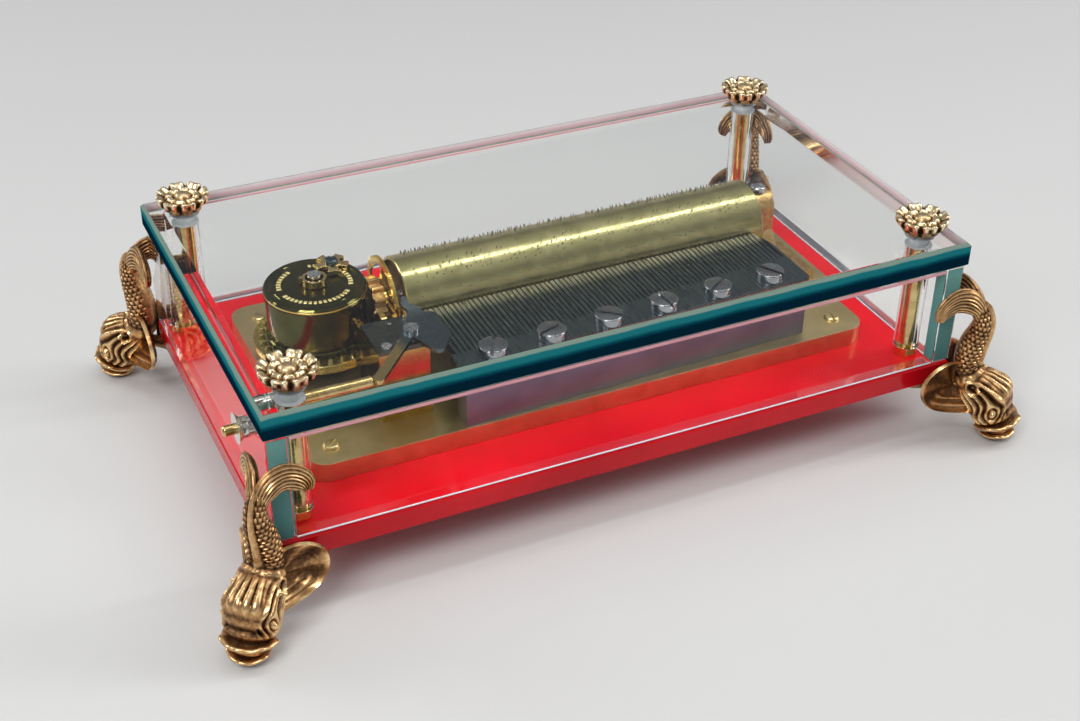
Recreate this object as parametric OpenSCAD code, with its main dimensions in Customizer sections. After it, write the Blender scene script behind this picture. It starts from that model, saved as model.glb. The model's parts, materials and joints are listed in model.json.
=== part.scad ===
// Crystal music box: a cylinder movement in a bevelled glass case on four dolphin feet.
// Origin on the table under the middle of the case, +X along the cylinder, +Y to the back.

/* [Glass case] */
// Length of the top plate
case_l = 216; // [210:1:230]
// Depth of the top plate, front to back
case_w = 122.6; // [118:0.2:135]
// Thickness of the top plate
top_t = 8; // [6:0.5:10]
// Thickness of the four glass walls
wall_t = 6; // [5:0.2:6.2]
// Overhang of the top plate past the walls
top_over = 0.6; // [0.4:0.1:1.5]
// Polished bevel along the glass edges
edge_bevel = 0.9; // [0.4:0.1:1.5]
// Thickness of the red base plate
base_t = 7; // [5:0.5:10]
// Height of the base plate above the table
base_clear = 17; // [16:0.5:22]
// Free height between the tallest wheel and the top plate
head_gap = 0.7; // [0.4:0.1:3]

/* [Corner posts] */
// From the top plate's edges to the middle of a post
post_inset = 10.8; // [10.7:0.1:12]
// Diameter of the brass rods
rod_d = 4.4; // [3:0.1:5]
// Outside diameter of the clear sleeves
sleeve_d = 7.6; // [6.6:0.1:7.8]
// Wall of the clear sleeves
sleeve_wall = 1.2; // [0.8:0.1:1.3]
// Height of the gilt nut at the foot of each post
post_nut_h = 3.5; // [2:0.5:6]
// Diameter of the clear washer under each rosette
washer_d = 9; // [8:0.5:12]
// Height of the clear washer
washer_h = 1.5; // [1:0.25:3]
// Diameter of a rosette nut across its petals
rosette_d = 16; // [13:0.5:19]
// Height of a rosette nut
rosette_h = 6.5; // [5.5:0.5:9]
// Petals round a rosette
petals = 8; // [6:1:12]
// Depth of the notches between petals, as a share of the radius
petal_notch = 0.28; // [0.1:0.02:0.35]

/* [Dolphin feet] */
// Reach of the mouth from the case corner, along the diagonal
foot_reach = 25; // [22:0.5:30]
// Height of the tail's tip above the base plate's underside
tail_up = 34; // [28:0.5:36]
// Radius of the head
head_r = 8.6; // [7:0.2:9]
// Radius of the body behind the gills
body_r = 4.7; // [4:0.1:5]
// Length of a shell fin along the base plate's edge
fin_l = 19; // [16:0.5:20]
// Height of a shell fin
fin_h = 17.6; // [14:0.2:18]
// Thickness of a shell fin
fin_t = 2.4; // [1.6:0.1:3]
// Thickness of the fixing tongue under the base plate
tongue_t = 3; // [2:0.25:5]
// Width of the fixing tongue
tongue_w = 11; // [9:0.5:14]

/* [Bedplate] */
// Length of the brass bedplate
bed_l = 180; // [176:1:190]
// Depth of the brass bedplate
bed_w = 80.4; // [79:0.2:90]
// Thickness of the bedplate
bed_t = 5.8; // [4:0.2:8]
// Corner radius of the bedplate
bed_r = 6; // [3:0.5:10]
// From the bedplate's edges to its fixing screws
bed_screw_inset = 8; // [6:0.5:10]

/* [Cylinder] */
// Outside diameter of the pinned tube
tube_d = 24; // [20:0.5:26]
// Wall of the tube
tube_t = 1; // [0.6:0.1:2]
// X of the tube's left end
tube_x = -47.5; // [-47.8:0.1:-46]
// Tube past the first and the last comb tooth
tube_margin = 4.5; // [4:0.1:8]
// Y of the cylinder's axis
cyl_y = 6.2; // [5:0.1:8]
// Diameter of a pin
pin_d = 0.4; // [0.3:0.05:0.6]
// Height of a pin above the tube
pin_h = 0.7; // [0.4:0.1:1]
// Pins shown for each comb tooth
pins_per_tooth = 2; // [1:1:3]
// Diameter of the cylinder's arbor
arbor_d = 3; // [2:0.1:4]
// Thickness of the end discs
end_t = 2; // [1:0.5:3]
// Depth of the end discs inside the tube
end_recess = 2; // [1:0.5:4]

/* [Comb] */
// Teeth of the comb
teeth = 72; // [60:1:74]
// Distance from tooth to tooth
tooth_pitch = 1.56; // [1.4:0.01:1.6]
// Width of a tooth
tooth_w = 1.1; // [0.8:0.05:1.2]
// Thickness of the comb
comb_t = 2.2; // [1.5:0.1:3]
// Comb's top face above the cylinder's axis
comb_lift = 1.3; // [0.5:0.1:3]
// Gap from the tooth tips to the circle of the pins
tip_gap = 0.15; // [0.1:0.01:0.4]
// Length of the longest tooth, at the left end
tooth_l_bass = 25; // [22:0.5:26]
// Length of the shortest tooth, at the right end
tooth_l_treble = 16; // [12:0.5:18]
// Solid part of the comb beyond its end teeth
comb_end = 1.8; // [1:0.1:2.2]
// Y of the comb's front edge at the left end
comb_front_bass = -39.6; // [-39.8:0.1:-39]
// Y of the comb's front edge at the right end
comb_front_treble = -35.6; // [-37:0.1:-35]
// Screws along the comb
comb_screws_n = 6; // [4:1:7]
// From the comb's front edge to the screws
comb_screw_in = 4.4; // [4.3:0.1:4.8]
// Head diameter of a comb screw
comb_head_d = 8.4; // [7:0.1:8.6]
// Head height of a comb screw
comb_head_h = 2.6; // [1.5:0.1:4]
// Shank diameter of a comb screw
comb_shank_d = 4; // [3:0.1:4.4]
// Length of a comb screw under its head
comb_shank_l = 9; // [6:0.5:11]

/* [Bearings] */
// Thickness of the left bearing plate
left_plate_t = 1.8; // [1.2:0.1:1.9]
// Thickness of the right bearing bracket along the arbor
right_bracket_t = 7; // [5:0.5:9]
// Width of the right bearing bracket
right_bracket_w = 10; // [8:0.5:12]
// Bracket above the cylinder's axis
bracket_rise = 8.5; // [5:0.5:9]
// Length of the right bracket's foot towards the front
bracket_foot_l = 18; // [14:0.5:22]
// Height of the right bracket's foot
bracket_foot_h = 3.2; // [2:0.2:5]

/* [Spring barrel] */
// X of the barrel's axis
barrel_x = -71.1; // [-71.5:0.1:-71]
// Y of the barrel's axis
barrel_y = 8.2; // [7:0.1:9]
// Diameter of the drum
drum_d = 30; // [28:0.2:30.2]
// Wall of the drum
drum_wall = 1; // [0.8:0.1:1.5]
// Thickness of the barrel's cover
cover_t = 1.4; // [1:0.1:2]
// Diameter of the winding arbor
wind_d = 4; // [3:0.1:4.6]
// Turns of the mainspring
spring_turns = 7; // [5:1:8]
// Thickness of the mainspring strip
spring_t = 0.35; // [0.2:0.05:0.4]
// Teeth of the crown wheel under the drum
crown_teeth = 30; // [30:1:30]
// Thickness of the crown wheel's disc
crown_t = 2.4; // [1.5:0.1:2.6]
// Length of the crown teeth along the radius
crown_face = 3.6; // [3:0.1:3.6]
// Width of a crown tooth
crown_tooth_w = 1.2; // [0.9:0.05:1.3]
// Teeth of the pinion on the cylinder's arbor
pinion_teeth = 12; // [12:1:12]
// Tip radius of that pinion
pinion_r = 7.4; // [7.2:0.05:7.6]
// Depth of a pinion tooth
pinion_depth = 1.5; // [1.4:0.1:1.7]
// Depth of the engagement with the crown wheel
mesh_depth = 1.3; // [1:0.1:1.3]

/* [Stop work and ratchet] */
// Height of the stop finger's disc
finger_h = 2; // [1:0.1:2.2]
// Radius of the stop finger's hub
finger_hub_r = 3.6; // [3:0.1:3.7]
// Reach of the stop finger's tooth
finger_r = 4.4; // [4:0.1:4.5]
// From the barrel's axis to the star wheel's axis
star_off = 10; // [9.9:0.1:10.4]
// Direction of the star wheel, seen from above
star_turn = 42; // [30:1:60]
// Radius of the star wheel
star_r = 5.2; // [4.5:0.1:5.2]
// Height of the star wheel
star_h = 1.6; // [1:0.1:1.8]
// Diameter of the star's screw
star_screw_d = 2; // [1.6:0.1:2.4]
// Head height of the star's screw
star_head_h = 1.2; // [0.8:0.1:1.4]
// Teeth of the ratchet wheel
ratchet_teeth = 24; // [16:1:30]
// Radius over the ratchet's teeth
ratchet_r = 7.6; // [6.5:0.1:8]
// Thickness of the ratchet wheel and its click
ratchet_t = 1.4; // [1:0.1:1.6]
// From the barrel's axis to the click's pivot
click_off = 14; // [13.5:0.1:15]
// Radius of the click's eye
click_eye_r = 2.4; // [2:0.1:2.6]
// Diameter of the click's shoulder screw
click_screw_d = 2; // [1.6:0.1:2.4]

/* [Winding key] */
// Diameter of the key's hub
key_hub_d = 9; // [7:0.5:11]
// Width over the key's two wings
key_span = 28; // [22:0.5:32]
// Thickness of the wings
key_t = 2.6; // [2:0.1:4]
// Height of the wings
key_wing_h = 9; // [6:0.5:10]
// Key's underside above the table
key_clear = 4; // [3:0.25:5]

/* [Governor] */
// Teeth of the large governor wheel
wheel_teeth = 96; // [96:1:96]
// Governor wheel's radius beyond the tube
wheel_over = 1; // [0.8:0.1:1.4]
// Thickness of the governor wheel
wheel_t = 1; // [0.8:0.1:1]
// Depth of the governor wheel's teeth
wheel_depth = 0.55; // [0.45:0.05:0.6]
// Width of the governor wheel's rim under its teeth
wheel_rim = 1.5; // [1.2:0.1:2.4]
// Arms of the governor wheel
wheel_arms = 4; // [3:1:6]
// Width of the governor wheel's arms
wheel_arm_w = 1.8; // [1.4:0.1:2.4]
// Leaves of the second arbor's pinion
leaf_n = 12; // [12:1:12]
// Diameter of the second arbor
second_d = 1.6; // [1.2:0.1:1.8]
// Teeth of the worm wheel
worm_wheel_teeth = 24; // [24:1:24]
// Radius of the worm wheel
worm_wheel_r = 5; // [4.5:0.1:5]
// Thickness of the worm wheel
worm_wheel_t = 1.6; // [1:0.1:2]
// X of the worm wheel and of the fly's arbor
worm_x = -57; // [-57.3:0.1:-56.8]
// Radius over the worm's thread
worm_r = 1.5; // [1.2:0.1:1.6]
// Depth of the worm's thread
worm_depth = 0.5; // [0.3:0.05:0.6]
// Turns of each thread of the worm
worm_turns = 3; // [2:1:4]
// Length of the worm
worm_l = 7; // [5:0.25:7.2]
// Diameter of the fly's arbor
fly_arbor_d = 1.2; // [1:0.1:1.4]
// Sweep radius of the fly's wings
fly_r = 5.2; // [4:0.1:5.3]
// Height of the wings
fly_h = 5.4; // [4:0.2:6]
// Thickness of the wings
fly_t = 0.4; // [0.3:0.1:0.8]
// Left face of the governor's frame
frame_x = -65; // [-65.2:0.1:-64.9]
// Width of the governor's frame
frame_w = 15; // [14.5:0.1:15.2]
// Front face of the governor's frame
frame_y = -28; // [-29:0.1:-27]
// Thickness of the frame's front wall
frame_wall = 4; // [3:0.25:4.5]
// Thickness of the frame's cheek
cheek_t = 2; // [1.5:0.1:2]
// Thickness of the frame's floor
frame_floor = 1.2; // [1:0.1:1.4]
// Thickness of the steel plate over the governor
gov_plate_t = 1.4; // [1:0.1:1.8]
// Steel plate above the worm wheel's arbor
gov_plate_up = 5.1; // [5.1:0.1:5.4]

/* [Start and stop] */
// From the front posts' middle to the start rod, front to back
start_in = 7.7; // [7.6:0.1:8.6]
// Start rod below the top plate's underside
start_drop = 6.6; // [6.2:0.1:6.8]
// Diameter of the start rod
start_d = 3; // [2.4:0.1:3.2]
// Travel of the start rod
start_travel = 3.4; // [2.5:0.1:3.6]
// Rod outside the left wall, pulled out
start_out = 6.4; // [6:0.1:8]
// Diameter of the flared collar outside the wall
collar_d = 8.8; // [7:0.2:10]
// Stand-off of the flared collar from the wall
collar_off = 1.6; // [1:0.1:2]
// X of the stop lever's pivot
lever_x = -54; // [-54.2:0.1:-53.8]
// Y of the stop lever's pivot
lever_y = -24.5; // [-25:0.1:-24.3]
// Thickness of the stop lever
lever_t = 1.2; // [0.8:0.1:1.4]
// Width of the stop lever's arms
lever_w = 3; // [2:0.1:3.2]
// Length of the stop lever's plate beside the comb
lever_plate_l = 18; // [14:0.5:20]
// Width of the stop lever's plate beside the pivot
lever_plate_w = 8.4; // [6:0.2:9]
// Reach of the horn past the stop pin
horn_l = 7.4; // [5:0.2:7.6]
// Reach of the long arm to the left of the pivot
lever_arm = 16.5; // [15:0.1:18]
// Diameter of the stop pin
stop_pin_d = 0.8; // [0.6:0.1:1]

/* [Clearances] */
// Radial clearance of turning and sliding fits
run_fit = 0.05; // [0.02:0.01:0.09]
// Radial clearance of screwed and pressed fits
seat_fit = 0.03; // [0.01:0.01:0.05]
// Gap between parts that pass each other
pass_gap = 0.3; // [0.2:0.05:0.5]

/* [Hidden] */
$fn = 48;

CORNERS = [[-1, -1], [1, -1], [-1, 1], [1, 1]];

// Heights, from the table up
base_z = base_clear + base_t;
bed_z = base_z + bed_t;
tube_r = tube_d / 2;
pin_r = tube_r + pin_h;
wheel_r = tube_r + wheel_over;
bed_gap = 0.5;
cyl_z = bed_z + wheel_r + bed_gap;
wall_z = cyl_z + wheel_r + head_gap;
wall_h = wall_z - base_z;
top_z = wall_z + top_t;

// Plan of the case
wall_l = case_l - 2 * top_over;
wall_w = case_w - 2 * top_over;
post_x = case_l / 2 - post_inset;
post_y = case_w / 2 - post_inset;
post_diag = post_inset * sqrt(2);
corner_in = top_over * sqrt(2);

// Comb and tube
comb_l = (teeth - 1) * tooth_pitch;
tube_l = comb_l + 2 * tube_margin;
tube_x1 = tube_x + tube_l;
tooth_x = tube_x + tube_margin;
comb_x0 = tooth_x - tooth_w / 2 - comb_end;
comb_x1 = tooth_x + comb_l + tooth_w / 2 + comb_end;
comb_z = cyl_z + comb_lift;
tip_y = cyl_y - sqrt(pin_r * pin_r - comb_lift * comb_lift) - tip_gap;
comb_screw_pitch = comb_l / comb_screws_n;
block_step = 1;

// Left end of the arbor, from the tube outwards
plate_gap = 0.9;
wheel_gap = 0.4;
pinion_gap = 0.6;
left_plate_x = tube_x - plate_gap - left_plate_t;
wheel_x = left_plate_x - wheel_gap - wheel_t;
pinion_x1 = wheel_x - pinion_gap;
pinion_x0 = pinion_x1 - crown_face;

// Barrel stack
drum_r = drum_d / 2;
crown_r = drum_r + crown_face + pass_gap;
crown_mid_r = drum_r + pass_gap + crown_face / 2;
crown_root_z = cyl_z - pinion_r - pass_gap;
crown_tip_z = cyl_z - pinion_r + mesh_depth;
crown_z = crown_root_z - crown_t;
arbor_tip = 1;
arbor_head_gap = 1.6;
stack_h = pass_gap + finger_h + arbor_tip + arbor_head_gap;
cover_z = wall_z - stack_h;
drum_z1 = cover_z - cover_t;
wind_r = wind_d / 2;
collar_r = wind_r + 2;
ratchet_z = bed_z + pass_gap;
mesh_turn = -asin((barrel_y - cyl_y) / crown_mid_r);

// Governor train
second_off = wheel_r - wheel_depth / 2 + leaf_r(wheel_depth) - wheel_depth / 2 + 0.08;
second_y = cyl_y - second_off;
second_z = cyl_z;
worm_y = second_y - worm_wheel_r - worm_r - pass_gap / 2;
gov_plate_z = second_z + gov_plate_up - gov_plate_t;
frame_top = gov_plate_z;
leaf_x0 = wheel_x - 1.4;
plate_back = worm_y + 2.4;
fly_z = bed_z + frame_floor + pass_gap;
worm_z = second_z - worm_l / 2;

// Start rod and stop lever
start_y = -post_y + start_in;
start_z = wall_z - start_drop;
wall_face = -wall_l / 2;
start_x0 = wall_face - start_out;
lever_z = start_z - lever_t / 2;
lever_end = [lever_x - lever_arm, start_y];
lever_eye_r = lever_w / 2 + 0.2;
start_x1 = lever_end[0] - lever_eye_r - pass_gap;
stop_pin_at = [worm_x + fly_r + start_travel / 2 + stop_pin_d, worm_y];

// Pitch radius of the second arbor's pinion, plus half a tooth
function leaf_r(depth) = (wheel_r - depth / 2) * leaf_n / wheel_teeth + depth / 2;

// Outline of a toothed wheel: widths of a tooth at root and tip, in degrees
function gear_points(n, root_r, tip_r, root_a, tip_a, turn = 0) = [
    for (i = [0:n - 1])
        for (c = [[root_r, -root_a], [tip_r, -tip_a], [tip_r, tip_a], [root_r, root_a]])
            let (a = 360 * i / n + turn + c[1] / 2)
                [c[0] * cos(a), c[0] * sin(a)]
];

// Cross-section of the worm: two thread crests on a core
function worm_points() = [
    for (a = [0:30:330])
        let (r = worm_r - worm_depth * (1 - pow(cos(a), 2)))
            [r * cos(a), r * sin(a)]
];

// Outline of a ratchet wheel, steep on one side of each tooth
function saw_points(n, root_r, tip_r) = [
    for (i = [0:n - 1])
        for (c = [[tip_r, 0], [root_r, 20 / n]])
            [c[0] * cos(360 * i / n + c[1]), c[0] * sin(360 * i / n + c[1])]
];

// Points along a flat spiral strip
function spiral_points(r0, r1, turns, side) = [
    for (i = [0:turns * 24])
        let (r = r0 + (r1 - r0) * i / (turns * 24) + side)
            [r * cos(15 * i), r * sin(15 * i)]
];

function reversed(list) = [for (i = [len(list) - 1:-1:0]) list[i]];

// Centre line of a dolphin from tail to mouth: out along the diagonal, height, half depth, half width
FOOT_LINE = [
    [2.2, base_clear + tail_up, 1.5, 3.6],
    [4.4, base_clear + tail_up - 2.5, 2.6, 4.2],
    [6.2, base_clear + tail_up - 7, body_r - 1.1, 4.4],
    [6.8, base_clear + tail_up - 12, body_r - 0.5, 4.8],
    [6.2, base_clear + tail_up - 17, body_r - 0.1, 5.2],
    [body_r + 0.6, base_clear + 11, body_r, 5.4],
    [body_r + 0.9, base_clear + 6, body_r + 0.2, 5.8],
    [8, base_clear + 1.5, body_r + 1.5, 6.6],
    [10.8, head_r + 6.5, head_r - 0.6, head_r - 0.6],
    [13.8, head_r + 2.8, head_r, head_r],
    [17.2, head_r - 0.8, head_r - 1, head_r - 0.8],
    [20.6, head_r - 3.8, head_r - 2.4, head_r - 1.8],
    [foot_reach - 3, head_r - 4, head_r - 2.6, head_r - 1.6],
    [foot_reach - 0.7, head_r - 4, head_r - 4, head_r - 3]
];
FOOT_SIDES = 16;

// One ring of the dolphin's skin, square to its centre line and flat where it meets the table
function foot_ring(i) =
    let (
        p = FOOT_LINE[i],
        a = FOOT_LINE[max(i - 1, 0)],
        b = FOOT_LINE[min(i + 1, len(FOOT_LINE) - 1)],
        d = [b[0] - a[0], b[1] - a[1]],
        n = [-d[1], d[0]] / norm(d)
    ) [
        for (k = [0:FOOT_SIDES - 1])
            let (t = 360 * k / FOOT_SIDES)
                [
                    p[0] + p[2] * cos(t) * n[0],
                    p[3] * sin(t),
                    max(0, p[1] + p[2] * cos(t) * n[1])
                ]
    ];

// Moves a shape drawn round +Z so that it lies round an axis along +X
module along_x(x, y, z) {
    translate([x, y, z]) rotate([90, 0, 90]) children();
}

// A flat plate with its long edges bevelled
module bevelled_plate(l, w, t, low, high) {
    function outline(s) = [
        [-s / 2 + low, 0], [s / 2 - low, 0], [s / 2, low], [s / 2, t - high],
        [s / 2 - high, t], [-s / 2 + high, t], [-s / 2, t - high], [-s / 2, low]
    ];
    intersection() {
        translate([-l / 2, 0, 0]) rotate([90, 0, 90]) linear_extrude(l) polygon(outline(w));
        translate([0, w / 2, 0]) rotate([90, 0, 0]) linear_extrude(w) polygon(outline(l));
    }
}

// A slotted screw, head upwards, its head resting on z = 0
module slotted_screw(head_d, head_h, shank_d, shank_l, slot_w, slot_turn = 0) {
    difference() {
        union() {
            cylinder(d = head_d, h = head_h);
            translate([0, 0, -shank_l]) cylinder(d = shank_d, h = shank_l + head_h / 2);
        }
        rotate([0, 0, slot_turn])
            translate([-head_d, -slot_w / 2, head_h * 0.6]) cube([2 * head_d, slot_w, head_h]);
    }
}

module at_posts() {
    for (c = CORNERS) translate([c[0] * post_x, c[1] * post_y, 0]) children();
}

module at_bed_screws() {
    for (c = CORNERS)
        translate([c[0] * (bed_l / 2 - bed_screw_inset), c[1] * (bed_w / 2 - bed_screw_inset), 0])
            children();
}

// Glass case
module glass_top() {
    color([0.8, 0.95, 0.93, 0.35]) difference() {
        translate([0, 0, wall_z]) bevelled_plate(case_l, case_w, top_t, edge_bevel, edge_bevel);
        at_posts() translate([0, 0, wall_z - 1]) cylinder(d = rod_d + 2 * seat_fit, h = top_t + 2);
    }
}

module cross_wall(side) {
    color([0.8, 0.95, 0.93, 0.35])
        translate([-wall_l / 2 + wall_t, side * (wall_w - wall_t) / 2 - wall_t / 2, base_z])
            cube([wall_l - 2 * wall_t, wall_t, wall_h]);
}

module glass_front() { cross_wall(-1); }

module glass_back() { cross_wall(1); }

module side_wall(side) {
    translate([side * (wall_l - wall_t) / 2 - wall_t / 2, -wall_w / 2, base_z])
        cube([wall_t, wall_w, wall_h]);
}

bush_d = start_d + 2.2;

module glass_left() {
    color([0.8, 0.95, 0.93, 0.35]) difference() {
        side_wall(-1);
        along_x(wall_face - 1, start_y, start_z)
            cylinder(d = bush_d + 2 * seat_fit, h = wall_t + 2);
    }
}

module glass_right() { color([0.8, 0.95, 0.93, 0.35]) side_wall(1); }

module red_base() {
    color([0.75, 0.03, 0.05]) difference() {
        translate([0, 0, base_clear]) bevelled_plate(wall_l, wall_w, base_t, 0.4, edge_bevel);
        at_posts() translate([0, 0, base_clear - 1])
            cylinder(d = rod_d + 2 * seat_fit, h = base_t + 2);
        translate([barrel_x, barrel_y, base_clear - 1]) cylinder(r = wind_r + 1, h = base_t + 2);
        at_bed_screws() translate([0, 0, base_z - bed_screw_grip])
            cylinder(d = bed_screw_d + 2 * seat_fit, h = base_t);
    }
}

// Corner posts
nut_grip = 4.5;

module corner_rods() {
    rod_top = top_z + washer_h + nut_grip;
    color([0.78, 0.6, 0.25]) at_posts() translate([0, 0, base_clear - tongue_t])
        cylinder(d = rod_d, h = rod_top - base_clear + tongue_t);
}

module rod_sleeves() {
    color([0.9, 0.95, 0.95, 0.4]) at_posts() translate([0, 0, base_z + post_nut_h]) difference() {
        cylinder(d = sleeve_d, h = wall_h - post_nut_h);
        translate([0, 0, -1]) cylinder(d = sleeve_d - 2 * sleeve_wall, h = wall_h + 2);
    }
}

module post_nuts() {
    color([0.85, 0.68, 0.25]) at_posts() translate([0, 0, base_z]) difference() {
        cylinder(d = sleeve_d, h = post_nut_h, $fn = 6);
        translate([0, 0, -1]) cylinder(d = rod_d + 2 * seat_fit, h = post_nut_h + 2);
    }
}

module rosette_washers() {
    color([0.92, 0.92, 0.92, 0.5]) at_posts() translate([0, 0, top_z]) difference() {
        cylinder(d1 = washer_d, d2 = washer_d - 1.5, h = washer_h);
        translate([0, 0, -1]) cylinder(d = rod_d + 2 * seat_fit, h = washer_h + 2);
    }
}

// Outline of a flower: round petals between shallow notches
function flower_points(d) = [
    for (i = [0:petals * 8 - 1])
        let (a = 45 * i / petals, r = d / 2 * (1 - petal_notch * (1 - abs(cos(a * petals / 2)))))
            [r * cos(a), r * sin(a)]
];

module rosette(c) {
    tier_h = rosette_h * 0.5;
    crown_h = rosette_h * 0.3;
    heart_d = rosette_d * 0.36;
    color([0.62, 0.46, 0.22])
        translate([c[0] * post_x, c[1] * post_y, top_z + washer_h]) difference() {
            union() {
                linear_extrude(tier_h) polygon(flower_points(rosette_d));
                translate([0, 0, tier_h]) rotate([0, 0, 180 / petals])
                    linear_extrude(crown_h) polygon(flower_points(rosette_d * 0.7));
                translate([0, 0, tier_h + crown_h])
                    cylinder(d1 = heart_d, d2 = heart_d * 0.6, h = rosette_h - tier_h - crown_h);
            }
            translate([0, 0, -1]) cylinder(d = rod_d + 2 * seat_fit, h = nut_grip + 1.05);
        }
}

module rosette_front_left() { rosette(CORNERS[0]); }

module rosette_front_right() { rosette(CORNERS[1]); }

module rosette_back_left() { rosette(CORNERS[2]); }

module rosette_back_right() { rosette(CORNERS[3]); }

// Dolphin feet
module dolphin_skin() {
    rings = len(FOOT_LINE);
    points = [for (i = [0:rings - 1]) each foot_ring(i)];
    quads = [
        for (i = [0:rings - 2])
            for (k = [0:FOOT_SIDES - 1])
                let (n = (k + 1) % FOOT_SIDES, a = i * FOOT_SIDES, b = a + FOOT_SIDES)
                    each [[a + k, a + n, b + n], [a + k, b + n, b + k]]
    ];
    first = [for (k = [FOOT_SIDES - 1:-1:0]) k];
    last = [for (k = [0:FOOT_SIDES - 1]) (rings - 1) * FOOT_SIDES + k];
    polyhedron(points, concat(quads, [first, last]), convexity = 4);
}

module fixing_tongue() {
    tongue_in = post_diag + rod_d / 2 + 2.5;
    translate([-tongue_in, -tongue_w / 2, base_clear - tongue_t])
        cube([tongue_in + body_r + 1, tongue_w, tongue_t]);
}

// A shell fin beside the base plate's edge, from the dolphin's flank inwards
module shell_fin() {
    fin_root = 4.8;
    rotate([0, 0, -135]) translate([fin_l / 2 - fin_root, pass_gap + fin_t, base_clear])
        rotate([90, 0, 0]) linear_extrude(fin_t)
            polygon([for (a = [0:15:345]) [fin_l / 2 * cos(a), fin_h / 2 * sin(a)]]);
}

module dolphin_foot(c) {
    color([0.5, 0.36, 0.2])
        translate([c[0] * case_l / 2, c[1] * case_w / 2, 0]) rotate([0, 0, atan2(c[1], c[0])]) {
            difference() {
                union() {
                    dolphin_skin();
                    fixing_tongue();
                    shell_fin();
                    mirror([0, 1, 0]) shell_fin();
                }
                translate([-post_diag, 0, base_clear - tongue_t - 1])
                    cylinder(d = rod_d + 2 * seat_fit, h = tongue_t + 2);
            }
        }
}

module foot_front_left() { dolphin_foot(CORNERS[0]); }

module foot_front_right() { dolphin_foot(CORNERS[1]); }

module foot_back_left() { dolphin_foot(CORNERS[2]); }

module foot_back_right() { dolphin_foot(CORNERS[3]); }

// Bedplate
bed_screw_d = 2.4;
bed_screw_grip = 4;

module bed_outline() {
    square([bed_l - 2 * bed_r, bed_w], center = true);
    square([bed_l, bed_w - 2 * bed_r], center = true);
    for (c = CORNERS)
        translate([c[0] * (bed_l / 2 - bed_r), c[1] * (bed_w / 2 - bed_r)]) circle(r = bed_r);
}

module bedplate() {
    color([0.8, 0.68, 0.38]) difference() {
        translate([0, 0, base_z]) linear_extrude(bed_t) bed_outline();
        at_bed_screws() translate([0, 0, base_z - 1])
            cylinder(d = bed_screw_d + 2 * seat_fit, h = bed_t + 2);
        translate([barrel_x, barrel_y, base_z - 1]) cylinder(r = bush_r + seat_fit, h = bed_t + 2);
        translate([click_at[0], click_at[1], bed_z - click_grip])
            cylinder(d = click_screw_d + 2 * seat_fit, h = bed_t);
    }
}

module bed_screws() {
    color([0.8, 0.8, 0.78]) at_bed_screws() translate([0, 0, bed_z])
        slotted_screw(2 * bed_screw_d, 1, bed_screw_d, bed_t + bed_screw_grip - 0.1, 0.5, 30);
}

// Comb
function comb_front(x) = comb_front_bass
    + (comb_front_treble - comb_front_bass) * (x - comb_x0) / (comb_x1 - comb_x0);
function tooth_root(x) = tip_y - tooth_l_bass
    + (tooth_l_bass - tooth_l_treble) * (x - tooth_x) / comb_l;

module at_comb_screws() {
    for (i = [0:comb_screws_n - 1])
        let (x = tooth_x + comb_screw_pitch * (i + 0.5))
            translate([x, comb_front(x) + comb_screw_in, 0]) children();
}

module comb_base() {
    x0 = comb_x0 + block_step;
    x1 = comb_x1 - block_step;
    color([0.45, 0.42, 0.48]) difference() {
        translate([0, 0, bed_z]) linear_extrude(comb_z - comb_t - bed_z) polygon([
            [x0, comb_front(x0)], [x1, comb_front(x1)],
            [x1, tooth_root(x1) - block_step], [x0, tooth_root(x0) - block_step]
        ]);
        at_comb_screws() translate([0, 0, comb_z - comb_shank_l - pass_gap])
            cylinder(d = comb_shank_d + 2 * seat_fit, h = comb_shank_l + 1);
    }
}

module comb() {
    x_last = tooth_x + comb_l;
    tooth_tops = [
        for (i = [0:teeth - 1])
            let (x = tooth_x + i * tooth_pitch, a = x - tooth_w / 2, b = x + tooth_w / 2)
                each [[a, tooth_root(a)], [a, tip_y], [b, tip_y], [b, tooth_root(b)]]
    ];
    outline = concat(
        [[comb_x0, tooth_root(tooth_x)]],
        tooth_tops,
        [
            [comb_x1 - comb_end / 2, tooth_root(x_last)],
            [comb_x1 - comb_end / 2, tip_y - 3],
            [comb_x1, tip_y - 8],
            [comb_x1, comb_front(comb_x1)],
            [comb_x0, comb_front(comb_x0)]
        ]
    );
    color([0.3, 0.33, 0.36]) difference() {
        translate([0, 0, comb_z - comb_t]) linear_extrude(comb_t) polygon(outline);
        at_comb_screws() translate([0, 0, comb_z - comb_t - 1])
            cylinder(d = comb_shank_d + 2 * seat_fit, h = comb_t + 2);
    }
}

module comb_screws() {
    color([0.82, 0.84, 0.86]) at_comb_screws() translate([0, 0, comb_z])
        slotted_screw(comb_head_d, comb_head_h, comb_shank_d, comb_shank_l, 1, 65);
}

// Cylinder
module cylinder_tube() {
    color([0.75, 0.65, 0.35]) along_x(tube_x, cyl_y, cyl_z) difference() {
        cylinder(d = tube_d, h = tube_l);
        translate([0, 0, -1]) cylinder(r = tube_r - tube_t, h = tube_l + 2);
    }
}

module cylinder_pins() {
    color([0.7, 0.7, 0.7]) for (i = [0:teeth - 1])
        for (k = [0:pins_per_tooth - 1])
            along_x(tooth_x + i * tooth_pitch, cyl_y, cyl_z)
                rotate([0, 0, 137.5 * i + 360 * k / pins_per_tooth]) rotate([0, 90, 0])
                    translate([0, 0, tube_r - tube_t / 2])
                        cylinder(d = pin_d, h = pin_h + tube_t / 2, $fn = 16);
}

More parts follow.
